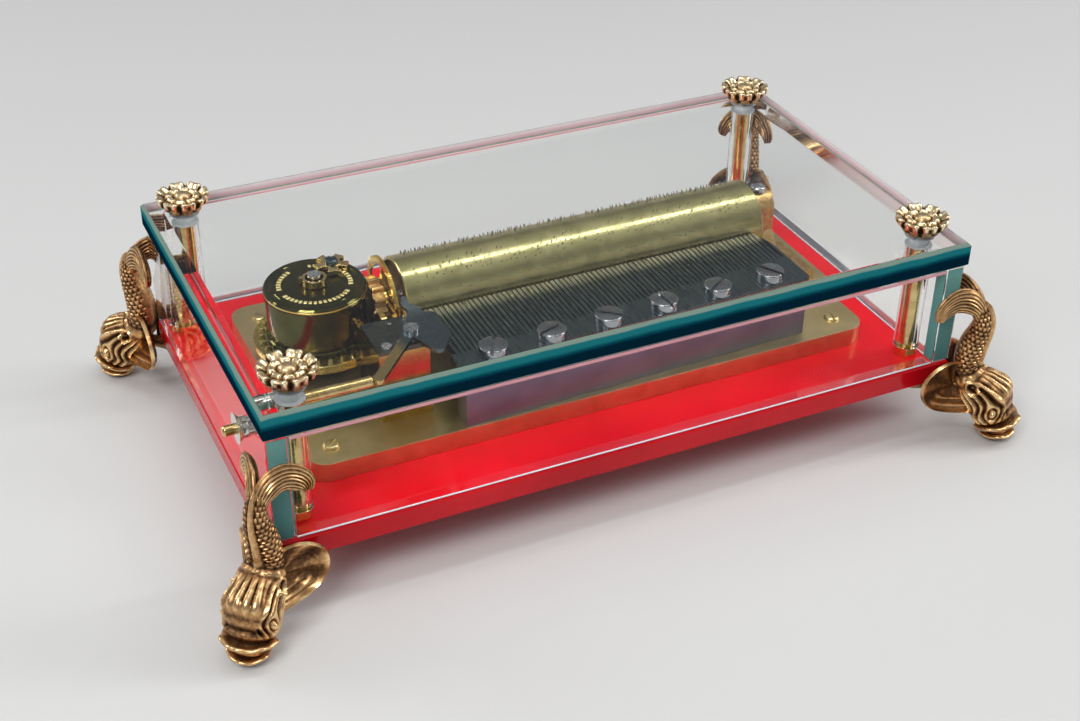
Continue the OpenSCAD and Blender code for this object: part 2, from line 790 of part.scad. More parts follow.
module end_disc(x) {
    along_x(x, cyl_y, cyl_z) difference() {
        cylinder(r = tube_r - tube_t - seat_fit, h = end_t);
        translate([0, 0, -1]) cylinder(d = arbor_d + 2 * seat_fit, h = end_t + 2);
    }
}

module cylinder_ends() {
    color([0.35, 0.28, 0.18]) {
        end_disc(tube_x + end_recess);
        end_disc(tube_x1 - end_recess - end_t);
    }
}

right_gap = 1;
right_x = tube_x1 + right_gap;

module cylinder_arbor() {
    color([0.7, 0.7, 0.72]) along_x(pinion_x0, cyl_y, cyl_z)
        cylinder(d = arbor_d, h = right_x + right_bracket_t - 1 - pinion_x0);
}

module drive_pinion() {
    color([0.7, 0.45, 0.2]) along_x(pinion_x0, cyl_y, cyl_z) difference() {
        linear_extrude(crown_face)
            polygon(gear_points(pinion_teeth, pinion_r - pinion_depth, pinion_r, 14, 7, -90));
        translate([0, 0, -1]) cylinder(d = arbor_d + 2 * seat_fit, h = crown_face + 2);
    }
}

// Bearings
module left_bearing() {
    front = second_y - 2.4;
    back = cyl_y + 6;
    color([0.72, 0.6, 0.3]) difference() {
        translate([left_plate_x, front, bed_z])
            cube([left_plate_t, back - front, cyl_z + 4 - bed_z]);
        along_x(left_plate_x - 1, cyl_y, cyl_z)
            cylinder(d = arbor_d + 2 * run_fit, h = left_plate_t + 2);
        along_x(left_plate_x - 1, second_y, second_z)
            cylinder(d = second_d + 2 * run_fit, h = left_plate_t + 2);
    }
}

bearing_screw_d = 2.6;
bearing_screw_l = 4;

module right_bearing() {
    back = cyl_y + right_bracket_w / 2;
    front = cyl_y - right_bracket_w / 2;
    top = cyl_z + bracket_rise;
    color([0.72, 0.48, 0.22]) difference() {
        union() {
            translate([right_x, front, bed_z])
                cube([right_bracket_t, right_bracket_w, top - right_bracket_w / 2 - bed_z]);
            along_x(right_x, cyl_y, top - right_bracket_w / 2)
                cylinder(d = right_bracket_w, h = right_bracket_t);
            translate([right_x, 0, bed_z]) rotate([90, 0, 90]) linear_extrude(right_bracket_t)
                polygon([[back, 0], [front - bracket_foot_l, 0], [front - bracket_foot_l, bracket_foot_h],
                         [front - 3, bracket_foot_h + 2], [front, 10], [back, 10]]);
            translate([right_x, front - bracket_foot_l, bed_z])
                cube([right_bracket_t + 5, bracket_foot_l + 2, bracket_foot_h]);
        }
        along_x(right_x - 1, cyl_y, cyl_z)
            cylinder(d = arbor_d + 2 * run_fit, h = right_bracket_t + 2);
        translate([right_x + right_bracket_t / 2, cyl_y, top - bearing_screw_l])
            cylinder(d = bearing_screw_d + 2 * seat_fit, h = bearing_screw_l + 1);
    }
}

module bearing_screw() {
    color([0.82, 0.82, 0.84])
        translate([right_x + right_bracket_t / 2, cyl_y, cyl_z + bracket_rise])
            slotted_screw(1.8 * bearing_screw_d, 1.8, bearing_screw_d, bearing_screw_l - 0.2, 0.6, 20);
}

// Spring barrel
module at_barrel(z) {
    translate([barrel_x, barrel_y, z]) children();
}

module barrel_drum() {
    color([0.55, 0.45, 0.2]) at_barrel(crown_root_z) difference() {
        cylinder(r = drum_r, h = drum_z1 - crown_root_z);
        translate([0, 0, -1]) cylinder(r = drum_r - drum_wall, h = drum_z1 - crown_root_z + 2);
    }
}

star_at = [star_off * cos(star_turn), star_off * sin(star_turn)];

module barrel_cover() {
    color([0.5, 0.42, 0.2]) at_barrel(drum_z1) difference() {
        cylinder(r = drum_r, h = cover_t);
        translate([0, 0, -1]) cylinder(r = wind_r + run_fit, h = cover_t + 2);
        translate([star_at[0], star_at[1], -1])
            cylinder(d = star_screw_d + 2 * seat_fit, h = cover_t + 2);
    }
}

module crown_wheel() {
    color([0.75, 0.62, 0.25]) at_barrel(crown_z) difference() {
        union() {
            cylinder(r = crown_r, h = crown_t);
            for (i = [0:crown_teeth - 1])
                rotate([0, 0, mesh_turn + 360 * (i + 0.5) / crown_teeth])
                    translate([drum_r + pass_gap, -crown_tooth_w / 2, 0])
                        cube([crown_face, crown_tooth_w, crown_tip_z - crown_z]);
        }
        translate([0, 0, -1]) cylinder(r = wind_r + run_fit, h = crown_t + 2);
    }
}

module mainspring() {
    r0 = wind_r + pass_gap + spring_t;
    r1 = drum_r - drum_wall - pass_gap - spring_t;
    outer = spiral_points(r0, r1, spring_turns, spring_t / 2);
    inner = spiral_points(r0, r1, spring_turns, -spring_t / 2);
    color([0.3, 0.32, 0.4]) at_barrel(crown_root_z + pass_gap)
        linear_extrude(drum_z1 - crown_root_z - 2 * pass_gap) polygon(concat(outer, reversed(inner)));
}

star_z = cover_z + pass_gap;

module star_screw() {
    shank_l = star_h + run_fit + pass_gap + cover_t - 0.1;
    color([0.2, 0.25, 0.5]) at_barrel(star_z) translate([star_at[0], star_at[1], star_h + run_fit])
        slotted_screw(2 * star_screw_d, star_head_h, star_screw_d, shank_l, 0.5);
}

module star_wheel() {
    color([0.8, 0.66, 0.3]) at_barrel(star_z) translate([star_at[0], star_at[1], 0]) difference() {
        linear_extrude(star_h) polygon(gear_points(5, star_r * 0.5, star_r, 52, 34, star_turn));
        translate([0, 0, -1]) cylinder(d = star_screw_d + 2 * run_fit, h = star_h + 2);
    }
}

// Winding arbor, its ratchet and the key under the base
key_grip = 8;
key_z1 = base_clear - 1;
bush_r = wind_r + 1.6;

module winding_arbor() {
    color([0.7, 0.7, 0.72]) {
        at_barrel(key_z1 - key_grip)
            cylinder(r = wind_r, h = star_z + finger_h + arbor_tip - key_z1 + key_grip);
        at_barrel(ratchet_z + ratchet_t + pass_gap / 2)
            cylinder(r = collar_r, h = crown_z - ratchet_z - ratchet_t - pass_gap);
    }
}

module stop_finger() {
    color([0.8, 0.65, 0.3]) at_barrel(star_z) difference() {
        union() {
            cylinder(r = finger_hub_r, h = finger_h);
            rotate([0, 0, star_turn + 120]) translate([0, -0.7, 0]) cube([finger_r, 1.4, finger_h]);
        }
        translate([0, 0, -1]) cylinder(r = wind_r + seat_fit, h = finger_h + 2);
    }
}

module ratchet_wheel() {
    color([0.6, 0.6, 0.62]) at_barrel(ratchet_z) difference() {
        linear_extrude(ratchet_t) polygon(saw_points(ratchet_teeth, ratchet_r - 1, ratchet_r));
        translate([0, 0, -1]) cylinder(r = wind_r + seat_fit, h = ratchet_t + 2);
    }
}

module winding_key() {
    wing = key_span / 2 - key_wing_h / 2;
    color([0.75, 0.6, 0.3]) at_barrel(key_clear) difference() {
        union() {
            cylinder(d = key_hub_d, h = key_z1 - key_clear);
            translate([-wing, -key_t / 2, 0]) cube([2 * wing, key_t, key_wing_h]);
            for (side = [-1, 1])
                translate([side * wing, key_t / 2, key_wing_h / 2]) rotate([90, 0, 0])
                    cylinder(d = key_wing_h, h = key_t);
        }
        translate([0, 0, key_z1 - key_grip - key_clear])
            cylinder(r = wind_r + seat_fit, h = key_grip + 1);
    }
}

module arbor_bush() {
    color([0.7, 0.5, 0.25]) at_barrel(base_z) difference() {
        cylinder(r = bush_r, h = bed_t);
        translate([0, 0, -1]) cylinder(r = wind_r + run_fit, h = bed_t + 2);
    }
}

click_turn = 150;
click_at = [barrel_x + click_off * cos(click_turn), barrel_y + click_off * sin(click_turn)];
click_grip = 4;
click_nose = (ratchet_r + pass_gap) * [cos(45), -sin(45)];

module click() {
    color([0.6, 0.6, 0.62]) at_barrel(ratchet_z) rotate([0, 0, click_turn]) difference() {
        union() {
            translate([click_off, 0, 0]) cylinder(r = click_eye_r, h = ratchet_t);
            linear_extrude(ratchet_t) polygon([
                [click_off + click_eye_r * 0.7, -1], [click_off - click_eye_r, 0.5],
                click_nose, click_nose + [1.3, -1.3]
            ]);
        }
        translate([click_off, 0, -1]) cylinder(d = click_screw_d + 2 * run_fit, h = ratchet_t + 2);
    }
}

module click_screw() {
    color([0.75, 0.75, 0.78]) translate([click_at[0], click_at[1], ratchet_z + ratchet_t + run_fit])
        slotted_screw(1.8 * click_screw_d, 0.8, click_screw_d, click_grip + ratchet_t + pass_gap, 0.5);
}

// Governor
// The openings between a wheel's arms
module crossings(r_in, r_out, arms, arm_w) {
    difference() {
        circle(r = r_out);
        circle(r = r_in);
        for (i = [0:arms - 1])
            rotate(360 * i / arms) translate([0, -arm_w / 2]) square([r_out + 1, arm_w]);
    }
}

module governor_wheel() {
    root_r = wheel_r - wheel_depth;
    hub_r = arbor_d / 2 + wheel_rim;
    color([0.85, 0.72, 0.25]) along_x(wheel_x, cyl_y, cyl_z) difference() {
        linear_extrude(wheel_t)
            polygon(gear_points(wheel_teeth, root_r, wheel_r, 1.9, 1, 180));
        translate([0, 0, -1]) cylinder(d = arbor_d + 2 * seat_fit, h = wheel_t + 2);
        translate([0, 0, -1]) linear_extrude(wheel_t + 2)
            crossings(hub_r, root_r - wheel_rim, wheel_arms, wheel_arm_w);
    }
}

module second_arbor() {
    tip = leaf_r(wheel_depth);
    color([0.75, 0.75, 0.78]) {
        along_x(frame_x, second_y, second_z)
            cylinder(d = second_d, h = left_plate_x + left_plate_t - frame_x);
        along_x(leaf_x0, second_y, second_z) linear_extrude(left_plate_x - 0.2 - leaf_x0)
            polygon(gear_points(leaf_n, tip - wheel_depth, tip, 15, 8, 180 / leaf_n));
    }
}

module worm_wheel() {
    color([0.8, 0.66, 0.3]) along_x(worm_x - worm_wheel_t / 2, second_y, second_z) difference() {
        linear_extrude(worm_wheel_t)
            polygon(gear_points(worm_wheel_teeth, worm_wheel_r - 0.7, worm_wheel_r, 9, 4));
        translate([0, 0, -1]) cylinder(d = second_d + 2 * seat_fit, h = worm_wheel_t + 2);
    }
}

module fly_worm() {
    color([0.7, 0.7, 0.73]) {
        translate([worm_x, worm_y, bed_z + 0.2])
            cylinder(d = fly_arbor_d, h = gov_plate_z + gov_plate_t - bed_z - 0.3);
        translate([worm_x, worm_y, worm_z])
            linear_extrude(worm_l, twist = -360 * worm_turns, slices = 12 * worm_turns, $fn = 12)
                polygon(worm_points());
    }
}

module fly_wings() {
    hub_r = fly_arbor_d / 2 + 0.8;
    wing_root = 0.3;
    wing_edge = 0.2;
    color([0.85, 0.75, 0.4]) translate([worm_x, worm_y, fly_z]) difference() {
        union() {
            cylinder(r = hub_r, h = fly_h);
            for (side = [0, 180])
                rotate([0, 0, 20 + side]) translate([hub_r - wing_root, -fly_t / 2, wing_edge])
                    cube([fly_r - 0.1 - hub_r + wing_root, fly_t, fly_h - 2 * wing_edge]);
        }
        translate([0, 0, -1]) cylinder(d = fly_arbor_d + 2 * seat_fit, h = fly_h + 2);
    }
}

module governor_frame() {
    cheek_low = worm_y + 4;
    cheek_high = second_y + second_d / 2 + 1.4;
    shoulder = crown_tip_z + 1.4;
    color([0.78, 0.58, 0.2]) difference() {
        union() {
            translate([frame_x, frame_y, bed_z]) cube([frame_w, frame_wall, frame_top - bed_z]);
            translate([frame_x, frame_y, bed_z]) cube([frame_w, cheek_low - frame_y, frame_floor]);
            translate([frame_x, 0, 0]) rotate([90, 0, 90]) linear_extrude(cheek_t) polygon([
                [frame_y, bed_z], [cheek_low, bed_z], [cheek_low, shoulder - 1],
                [cheek_high, shoulder], [cheek_high, frame_top], [frame_y, frame_top]
            ]);
        }
        along_x(frame_x - 1, second_y, second_z) cylinder(d = second_d + 2 * run_fit, h = cheek_t + 2);
        translate([worm_x, worm_y, bed_z - 1])
            cylinder(d = fly_arbor_d + 2 * run_fit, h = frame_floor + 2);
        at_governor_screws() translate([0, 0, frame_top - gov_screw_grip])
            cylinder(d = gov_screw_d + 2 * seat_fit, h = gov_screw_grip + 1);
    }
}

gov_screw_d = 2;
gov_screw_grip = 5;

module at_governor_screws() {
    for (x = [frame_x + 3, frame_x + frame_w - 7.4])
        translate([x, frame_y + frame_wall / 2, 0]) children();
}

module governor_plate() {
    color([0.4, 0.43, 0.47]) difference() {
        translate([frame_x, frame_y, gov_plate_z])
            cube([lever_x + 1.7 - frame_x, plate_back - frame_y, gov_plate_t]);
        translate([worm_x, worm_y, gov_plate_z - 1])
            cylinder(d = fly_arbor_d + 2 * run_fit, h = gov_plate_t + 2);
        translate([lever_x, lever_y, gov_plate_z - 1])
            cylinder(d = lever_screw_d + 2 * seat_fit, h = gov_plate_t + 2);
        at_governor_screws() translate([0, 0, gov_plate_z - 1])
            cylinder(d = gov_screw_d + 2 * seat_fit, h = gov_plate_t + 2);
    }
}

module governor_screws() {
    color([0.8, 0.8, 0.82]) at_governor_screws() translate([0, 0, gov_plate_z + gov_plate_t])
        slotted_screw(1.5 * gov_screw_d, 0.6, gov_screw_d, gov_screw_grip + gov_plate_t - 0.2, 0.4, 40);
}

// Start rod and stop lever
module start_rod() {
    color([0.8, 0.65, 0.3]) along_x(start_x0, start_y, start_z) {
        cylinder(d1 = start_d - 0.8, d2 = start_d, h = 0.6);
        translate([0, 0, 0.6]) cylinder(d = start_d, h = start_x1 - start_x0 - 0.6);
    }
}

module start_bush() {
    color([0.85, 0.85, 0.82]) along_x(wall_face - collar_off - 1.2, start_y, start_z) difference() {
        union() {
            cylinder(d1 = collar_d, d2 = bush_d + 1, h = 1.2);
            translate([0, 0, 1.2]) cylinder(d = bush_d + 1, h = collar_off);
            translate([0, 0, 1.2]) cylinder(d = bush_d, h = collar_off + wall_t + 3);
        }
        translate([0, 0, -1]) cylinder(d = start_d + 2 * run_fit, h = collar_off + wall_t + 7);
    }
}

module bush_nut() {
    color([0.85, 0.85, 0.85]) along_x(wall_face + wall_t, start_y, start_z) difference() {
        cylinder(d = bush_d + 1.8, h = 3);
        translate([0, 0, -1]) cylinder(d = bush_d + 2 * seat_fit, h = 5);
    }
}

lever_screw_d = 2.4;

// A flat arm between two points of the lever
module lever_bar(a, b) {
    d = b - a;
    translate([a[0], a[1], 0]) rotate([0, 0, atan2(d[1], d[0])])
        translate([0, -lever_w / 2, 0]) cube([norm(d), lever_w, lever_t]);
    translate([b[0], b[1], 0]) cylinder(r = lever_eye_r, h = lever_t);
}

// A flat web between two round ends, each given as [x, y, radius]
module lever_web(a, b) {
    hull() {
        translate([a[0], a[1], 0]) cylinder(r = a[2], h = lever_t);
        translate([b[0], b[1], 0]) cylinder(r = b[2], h = lever_t);
    }
}

// The broad plate beside the comb's end, round at its corners
module lever_plate() {
    corner_r = lever_w * 0.6;
    x1 = lever_plate_w - corner_r / 3;
    ends = [[lever_x, lever_y], [lever_x + x1 * 0.45, lever_y + lever_plate_l * 0.42],
        [lever_x + x1, lever_y + lever_plate_l * 0.3], [lever_x + x1, lever_y - lever_plate_l * 0.3],
        [lever_x + x1 * 0.5, lever_y - lever_plate_l * 0.58]];
    hull() for (e = ends) translate([e[0], e[1], 0]) cylinder(r = corner_r, h = lever_t);
}

module stop_lever() {
    pivot = [lever_x, lever_y];
    horn = [[stop_pin_at[0], stop_pin_at[1], lever_w * 0.6],
        [stop_pin_at[0] - lever_w * 0.45, stop_pin_at[1] + horn_l * 0.55, lever_w * 0.36],
        [stop_pin_at[0] - lever_w * 0.15, stop_pin_at[1] + horn_l, lever_w * 0.22]];
    color([0.45, 0.5, 0.6]) difference() {
        union() {
            translate([0, 0, lever_z]) {
                translate([lever_x, lever_y, 0]) cylinder(d = lever_screw_d + 3, h = lever_t);
                lever_bar(pivot, lever_end);
                lever_plate();
                lever_web([lever_x, lever_y, lever_w * 0.7], horn[0]);
                lever_web(horn[0], horn[1]);
                lever_web(horn[1], horn[2]);
            }
            translate([stop_pin_at[0], stop_pin_at[1], fly_z + fly_h / 3])
                cylinder(d = stop_pin_d, h = lever_z - fly_z - fly_h / 3 + lever_t / 2);
        }
        translate([lever_x, lever_y, lever_z - 1])
            cylinder(d = lever_screw_d + 2 * run_fit, h = lever_t + 2);
    }
}

module lever_screw() {
    shoulder_z = gov_plate_z + gov_plate_t;
    color([0.8, 0.8, 0.82]) {
        translate([lever_x, lever_y, shoulder_z])
            cylinder(d = lever_screw_d + 2, h = lever_z - run_fit - shoulder_z);
        translate([lever_x, lever_y, lever_z + lever_t + run_fit])
            slotted_screw(lever_screw_d + 2, 1, lever_screw_d, lever_z + lever_t - gov_plate_z, 0.5, 10);
    }
}

glass_top();
glass_front();
glass_back();
glass_left();
glass_right();
red_base();
corner_rods();
rod_sleeves();
post_nuts();
rosette_washers();
rosette_front_left();
rosette_front_right();
rosette_back_left();
rosette_back_right();
foot_front_left();
foot_front_right();
foot_back_left();
foot_back_right();
bedplate();
bed_screws();
comb_base();
comb();
comb_screws();
cylinder_tube();
cylinder_pins();
cylinder_ends();
cylinder_arbor();
drive_pinion();
left_bearing();
right_bearing();
bearing_screw();
barrel_drum();
barrel_cover();
crown_wheel();
mainspring();
star_screw();
star_wheel();
winding_arbor();
stop_finger();
ratchet_wheel();
winding_key();
arbor_bush();
click();
click_screw();
governor_wheel();
second_arbor();
worm_wheel();
fly_worm();
fly_wings();
governor_frame();
governor_plate();
governor_screws();
start_rod();
start_bush();
bush_nut();
stop_lever();
lever_screw();
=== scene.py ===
import json
import math
import random

import bpy
from mathutils import Matrix, Vector


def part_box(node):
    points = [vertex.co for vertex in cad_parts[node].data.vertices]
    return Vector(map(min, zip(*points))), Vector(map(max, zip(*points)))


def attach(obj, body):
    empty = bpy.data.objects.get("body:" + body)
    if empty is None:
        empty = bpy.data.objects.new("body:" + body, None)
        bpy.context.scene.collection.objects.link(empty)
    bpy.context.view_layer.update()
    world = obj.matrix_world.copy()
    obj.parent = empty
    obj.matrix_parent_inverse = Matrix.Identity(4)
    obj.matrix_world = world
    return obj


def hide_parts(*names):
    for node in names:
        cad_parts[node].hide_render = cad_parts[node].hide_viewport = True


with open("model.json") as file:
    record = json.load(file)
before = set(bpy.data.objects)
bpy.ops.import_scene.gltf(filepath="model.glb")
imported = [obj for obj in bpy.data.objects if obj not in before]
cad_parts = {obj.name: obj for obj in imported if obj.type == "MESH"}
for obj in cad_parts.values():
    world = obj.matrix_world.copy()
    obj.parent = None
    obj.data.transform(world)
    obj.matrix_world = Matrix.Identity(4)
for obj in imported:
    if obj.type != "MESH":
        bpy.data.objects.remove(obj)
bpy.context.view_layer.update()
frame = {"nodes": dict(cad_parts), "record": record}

MM = 0.001
NODE = frame["nodes"]

# The case and the movement, in millimetres
CASE_L, CASE_W = 216.0, 122.6
POST_X, POST_Y = 97.2, 50.5
TOP_Z, PLATE_T, PLATE_BEVEL = 65.0, 8.0, 0.9
PLATE_Z, FLAT_LOW, FLAT_HIGH = TOP_Z - PLATE_T, TOP_Z - PLATE_T + PLATE_BEVEL, TOP_Z - PLATE_BEVEL
BASE_Z, BED_Z, COMB_Z, LID_Z = 24.0, 29.8, 44.6, 52.1
WALL_X, WALL_Y, WALL_T, WALL_GAP = 104.4, 57.7, 5.5, 0.08
CYL_Y, CYL_Z, TUBE_R = 6.2, 43.3, 12.0
TUBE_X0, TUBE_X1 = -47.5, 72.26
TOOTH_X, TOOTH_PITCH, TEETH = -43.0, 1.56, 72
BARREL_X, BARREL_Y = -71.1, 8.2
CORNERS = {"front_left": (-1, -1), "front_right": (1, -1), "back_left": (-1, 1), "back_right": (1, 1)}


# Camera, floor and light

# Where the photo was taken from, in metres, which way it looks and leans, and its lens for a 36 mm sensor
CAMERA_PLACE = (-0.1887, -0.3897, 0.30235)
CAMERA_FORWARD, CAMERA_RIGHT = (0.3594, 0.7526, -0.5518), (0.9024, -0.4310, 0.0)
CAMERA_ROLL, CAMERA_LENS, SENSOR_W = 0.79, 55.12, 36.0


def set_camera():
    forward = Vector(CAMERA_FORWARD).normalized()
    right = Vector(CAMERA_RIGHT).normalized()
    up = right.cross(forward)
    roll = math.radians(CAMERA_ROLL)
    tilted_right = right * math.cos(roll) + up * math.sin(roll)
    tilted_up = up * math.cos(roll) - right * math.sin(roll)
    data = bpy.data.cameras.new("photo_camera")
    camera = bpy.data.objects.new("photo_camera", data)
    bpy.context.scene.collection.objects.link(camera)
    turn = Matrix((tilted_right, tilted_up, -forward)).transposed().to_4x4()
    camera.matrix_world = Matrix.Translation(CAMERA_PLACE) @ turn
    data.sensor_fit = "HORIZONTAL"
    data.sensor_width = SENSOR_W
    data.lens = CAMERA_LENS
    data.clip_start = 0.01
    bpy.context.scene.camera = camera


def area_lamp(name, place, target, size, power):
    data = bpy.data.lights.new(name, "AREA")
    data.shape = "RECTANGLE"
    data.size, data.size_y = size
    data.energy = power
    lamp = bpy.data.objects.new(name, data)
    bpy.context.scene.collection.objects.link(lamp)
    lamp.location = place
    lamp.rotation_euler = (Vector(target) - Vector(place)).to_track_quat("-Z", "Y").to_euler()


def set_light():
    area_lamp("top_strip", (0.33, -0.03, 0.95), (0, 0, 0.05), (0.07, 1.3), 2.6)
    area_lamp("key_softbox", (-0.55, -0.5, 0.8), (0, 0, 0.04), (0.45, 0.35), 4.6)
    area_lamp("right_softbox", (0.9, -0.3, 0.5), (0, 0, 0.04), (0.3, 0.6), 2.8)
    area_lamp("left_strip", (-0.75, 0.65, 0.6), (0, 0, 0.05), (0.6, 0.2), 2.4)
    world = bpy.data.worlds.new("studio")
    bpy.context.scene.world = world
    world.use_nodes = True
    nodes, links = world.node_tree.nodes, world.node_tree.links
    ground = nodes["Background"]
    ground.inputs["Strength"].default_value = 0.5
    spot = nodes.new("ShaderNodeTexCoord")
    split = nodes.new("ShaderNodeSeparateXYZ")
    ramp = nodes.new("ShaderNodeValToRGB")
    links.new(spot.outputs["Generated"], split.inputs[0])
    links.new(split.outputs["Z"], ramp.inputs["Fac"])
    ramp.color_ramp.elements[0].position = 0.0
    ramp.color_ramp.elements[0].color = (0.75, 0.76, 0.78, 1)
    ramp.color_ramp.elements[1].position = 0.9
    ramp.color_ramp.elements[1].color = (1.0, 1.0, 1.0, 1)
    middle = ramp.color_ramp.elements.new(0.5)
    middle.color = (0.3, 0.31, 0.34, 1)
    links.new(ramp.outputs["Color"], ground.inputs["Color"])


def set_floor():
    bpy.ops.object.select_all(action="DESELECT")
    bpy.ops.mesh.primitive_plane_add(size=8.0, location=(0, 0, -0.0001))
    floor = bpy.context.object
    floor.name = "studio_floor"
    material = bpy.data.materials.new("pale_floor")
    material.use_nodes = True
    shader = material.node_tree.nodes["Principled BSDF"]
    shader.inputs["Base Color"].default_value = (0.72, 0.72, 0.71, 1)
    shader.inputs["Roughness"].default_value = 0.6
    floor.data.materials.append(material)


# Finishes

FINISH = {}
# Where a finish changes, in millimetres: at the comb's tips, at the end of the lever's arm, and along its
# horn, where the lever's painted highlight fades in
COMB_TIPS_Y, LEVER_ARM_X, LEVER_HORN_Y = (-12.5, -7.2), (-61.0, -57.5), (-19.0, -13.0)


def new_finish(name):
    material = bpy.data.materials.new(name)
    material.use_nodes = True
    FINISH[name] = material
    nodes, links = material.node_tree.nodes, material.node_tree.links
    return nodes, links, nodes["Principled BSDF"]


def grain_noise(nodes, links, scale, stretch=(1, 1, 1), detail=5.0, distortion=0.0):
    place = nodes.new("ShaderNodeTexCoord")
    mapping = nodes.new("ShaderNodeMapping")
    mapping.inputs["Scale"].default_value = stretch
    noise = nodes.new("ShaderNodeTexNoise")
    noise.inputs["Scale"].default_value = scale
    noise.inputs["Detail"].default_value = detail
    noise.inputs["Distortion"].default_value = distortion
    links.new(place.outputs["Object"], mapping.inputs["Vector"])
    links.new(mapping.outputs["Vector"], noise.inputs["Vector"])
    return noise.outputs["Fac"]


def two_tone(nodes, links, fac, deep, pale, low=0.35, high=0.68):
    ramp = nodes.new("ShaderNodeValToRGB")
    ramp.color_ramp.elements[0].position = low
    ramp.color_ramp.elements[0].color = (*deep, 1)
    ramp.color_ramp.elements[1].position = high
    ramp.color_ramp.elements[1].color = (*pale, 1)
    links.new(fac, ramp.inputs["Fac"])
    return ramp.outputs["Color"]


def spread(nodes, links, fac, low, high):
    reach = nodes.new("ShaderNodeMapRange")
    reach.inputs["From Min"].default_value = 0.3
    reach.inputs["From Max"].default_value = 0.7
    reach.inputs["To Min"].default_value = low
    reach.inputs["To Max"].default_value = high
    links.new(fac, reach.inputs["Value"])
    return reach.outputs["Result"]


def along(nodes, links, axis, low, high):
    """How far a spot lies from low to high along an axis, in millimetres."""
    place = nodes.new("ShaderNodeTexCoord")
    split = nodes.new("ShaderNodeSeparateXYZ")
    links.new(place.outputs["Object"], split.inputs[0])
    reach = nodes.new("ShaderNodeMapRange")
    reach.inputs["From Min"].default_value = low * MM
    reach.inputs["From Max"].default_value = high * MM
    links.new(split.outputs[axis], reach.inputs["Value"])
    return reach.outputs["Result"]


def ridged(nodes, links, fac, shader, strength, depth):
    bump = nodes.new("ShaderNodeBump")
    bump.inputs["Strength"].default_value = strength
    bump.inputs["Distance"].default_value = depth
    links.new(fac, bump.inputs["Height"])
    links.new(bump.outputs["Normal"], shader.inputs["Normal"])


def metal(name, deep, pale, rough, patch=260.0, grain=2600.0, stretch=(1, 1, 1), bump=0.12, depth=0.00004):
    """A metal with a slow change of tone from deep to pale, a fine grain in its gloss and a light bump."""
    nodes, links, shader = new_finish(name)
    slow = grain_noise(nodes, links, patch, detail=3.0, distortion=0.6)
    fine = grain_noise(nodes, links, grain, stretch)
    links.new(two_tone(nodes, links, slow, deep, pale), shader.inputs["Base Color"])
    links.new(spread(nodes, links, fine, *rough), shader.inputs["Roughness"])
    ridged(nodes, links, fine, shader, bump, depth)
    shader.inputs["Metallic"].default_value = 1.0


def antique(name, hollow, shade, worn_tone, proud):
    """Gilt casting: dark brown patina in the hollows, worn gold on what stands proud, and painted shade where
    a skin's tone is lowered on its undersides, backs and sides.
    """
    nodes, links, shader = new_finish(name)
    patina_and_shade = nodes.new("ShaderNodeAttribute")
    patina_and_shade.attribute_name = "patina_and_shade"
    speck = grain_noise(nodes, links, 900.0, detail=6.0, distortion=0.4)
    fine = grain_noise(nodes, links, 4200.0)
    blur = nodes.new("ShaderNodeMath")
    blur.operation = "MULTIPLY_ADD"
    links.new(speck, blur.inputs[0])
    blur.inputs[1].default_value = 0.7
    links.new(patina_and_shade.outputs["Fac"], blur.inputs[2])
    worn = nodes.new("ShaderNodeMath")
    worn.operation = "MULTIPLY"
    worn.inputs[1].default_value = 0.72
    links.new(blur.outputs[0], worn.inputs[0])
    ramp = nodes.new("ShaderNodeValToRGB")
    stops = ramp.color_ramp.elements
    stops[0].position, stops[0].color = 0.3, (*hollow, 1)
    stops[1].position, stops[1].color = 0.98, (*proud, 1)
    stops.new(0.52).color = (*shade, 1)
    stops.new(0.74).color = (*worn_tone, 1)
    links.new(worn.outputs[0], ramp.inputs["Fac"])
    links.new(ramp.outputs["Color"], shader.inputs["Base Color"])
    gloss = nodes.new("ShaderNodeMapRange")
    gloss.inputs["From Min"].default_value = 0.3
    gloss.inputs["From Max"].default_value = 1.0
    gloss.inputs["To Min"].default_value = 0.55
    gloss.inputs["To Max"].default_value = 0.24
    links.new(worn.outputs[0], gloss.inputs["Value"])
    links.new(gloss.outputs["Result"], shader.inputs["Roughness"])
    ridged(nodes, links, fine, shader, 0.25, 0.00006)
    shader.inputs["Metallic"].default_value = 1.0


def clear(name, tint, bend):
    """Polished glass: it bends light and lets the lamps through."""
    nodes, links, shader = new_finish(name)
    shader.inputs["Base Color"].default_value = (*tint, 1)
    shader.inputs["Transmission Weight"].default_value = 1.0
    shader.inputs["IOR"].default_value = bend
    shader.inputs["Specular Tint"].default_value = (0.3, 0.3, 0.3, 1)
    smear = grain_noise(nodes, links, 40.0, detail=4.0)
    links.new(spread(nodes, links, smear, 0.0, 0.025), shader.inputs["Roughness"])
    shine = nodes.new("ShaderNodeBsdfTransparent")
    shine.inputs["Color"].default_value = (*tint, 1)
    path = nodes.new("ShaderNodeLightPath")
    mix = nodes.new("ShaderNodeMixShader")
    links.new(path.outputs["Is Shadow Ray"], mix.inputs["Fac"])
    links.new(shader.outputs["BSDF"], mix.inputs[1])
    links.new(shine.outputs["BSDF"], mix.inputs[2])
    links.new(mix.outputs["Shader"], nodes["Material Output"].inputs["Surface"])


def red_gloss():
    nodes, links, shader = new_finish("red_base")
    cloud = grain_noise(nodes, links, 28.0, detail=3.0)
    dust = grain_noise(nodes, links, 700.0, detail=6.0)
    colour = two_tone(nodes, links, cloud, (0.50, 0.002, 0.008), (0.66, 0.006, 0.014))
    links.new(colour, shader.inputs["Base Color"])
    links.new(spread(nodes, links, dust, 0.1, 0.2), shader.inputs["Roughness"])
    shader.inputs["Specular IOR Level"].default_value = 0.28


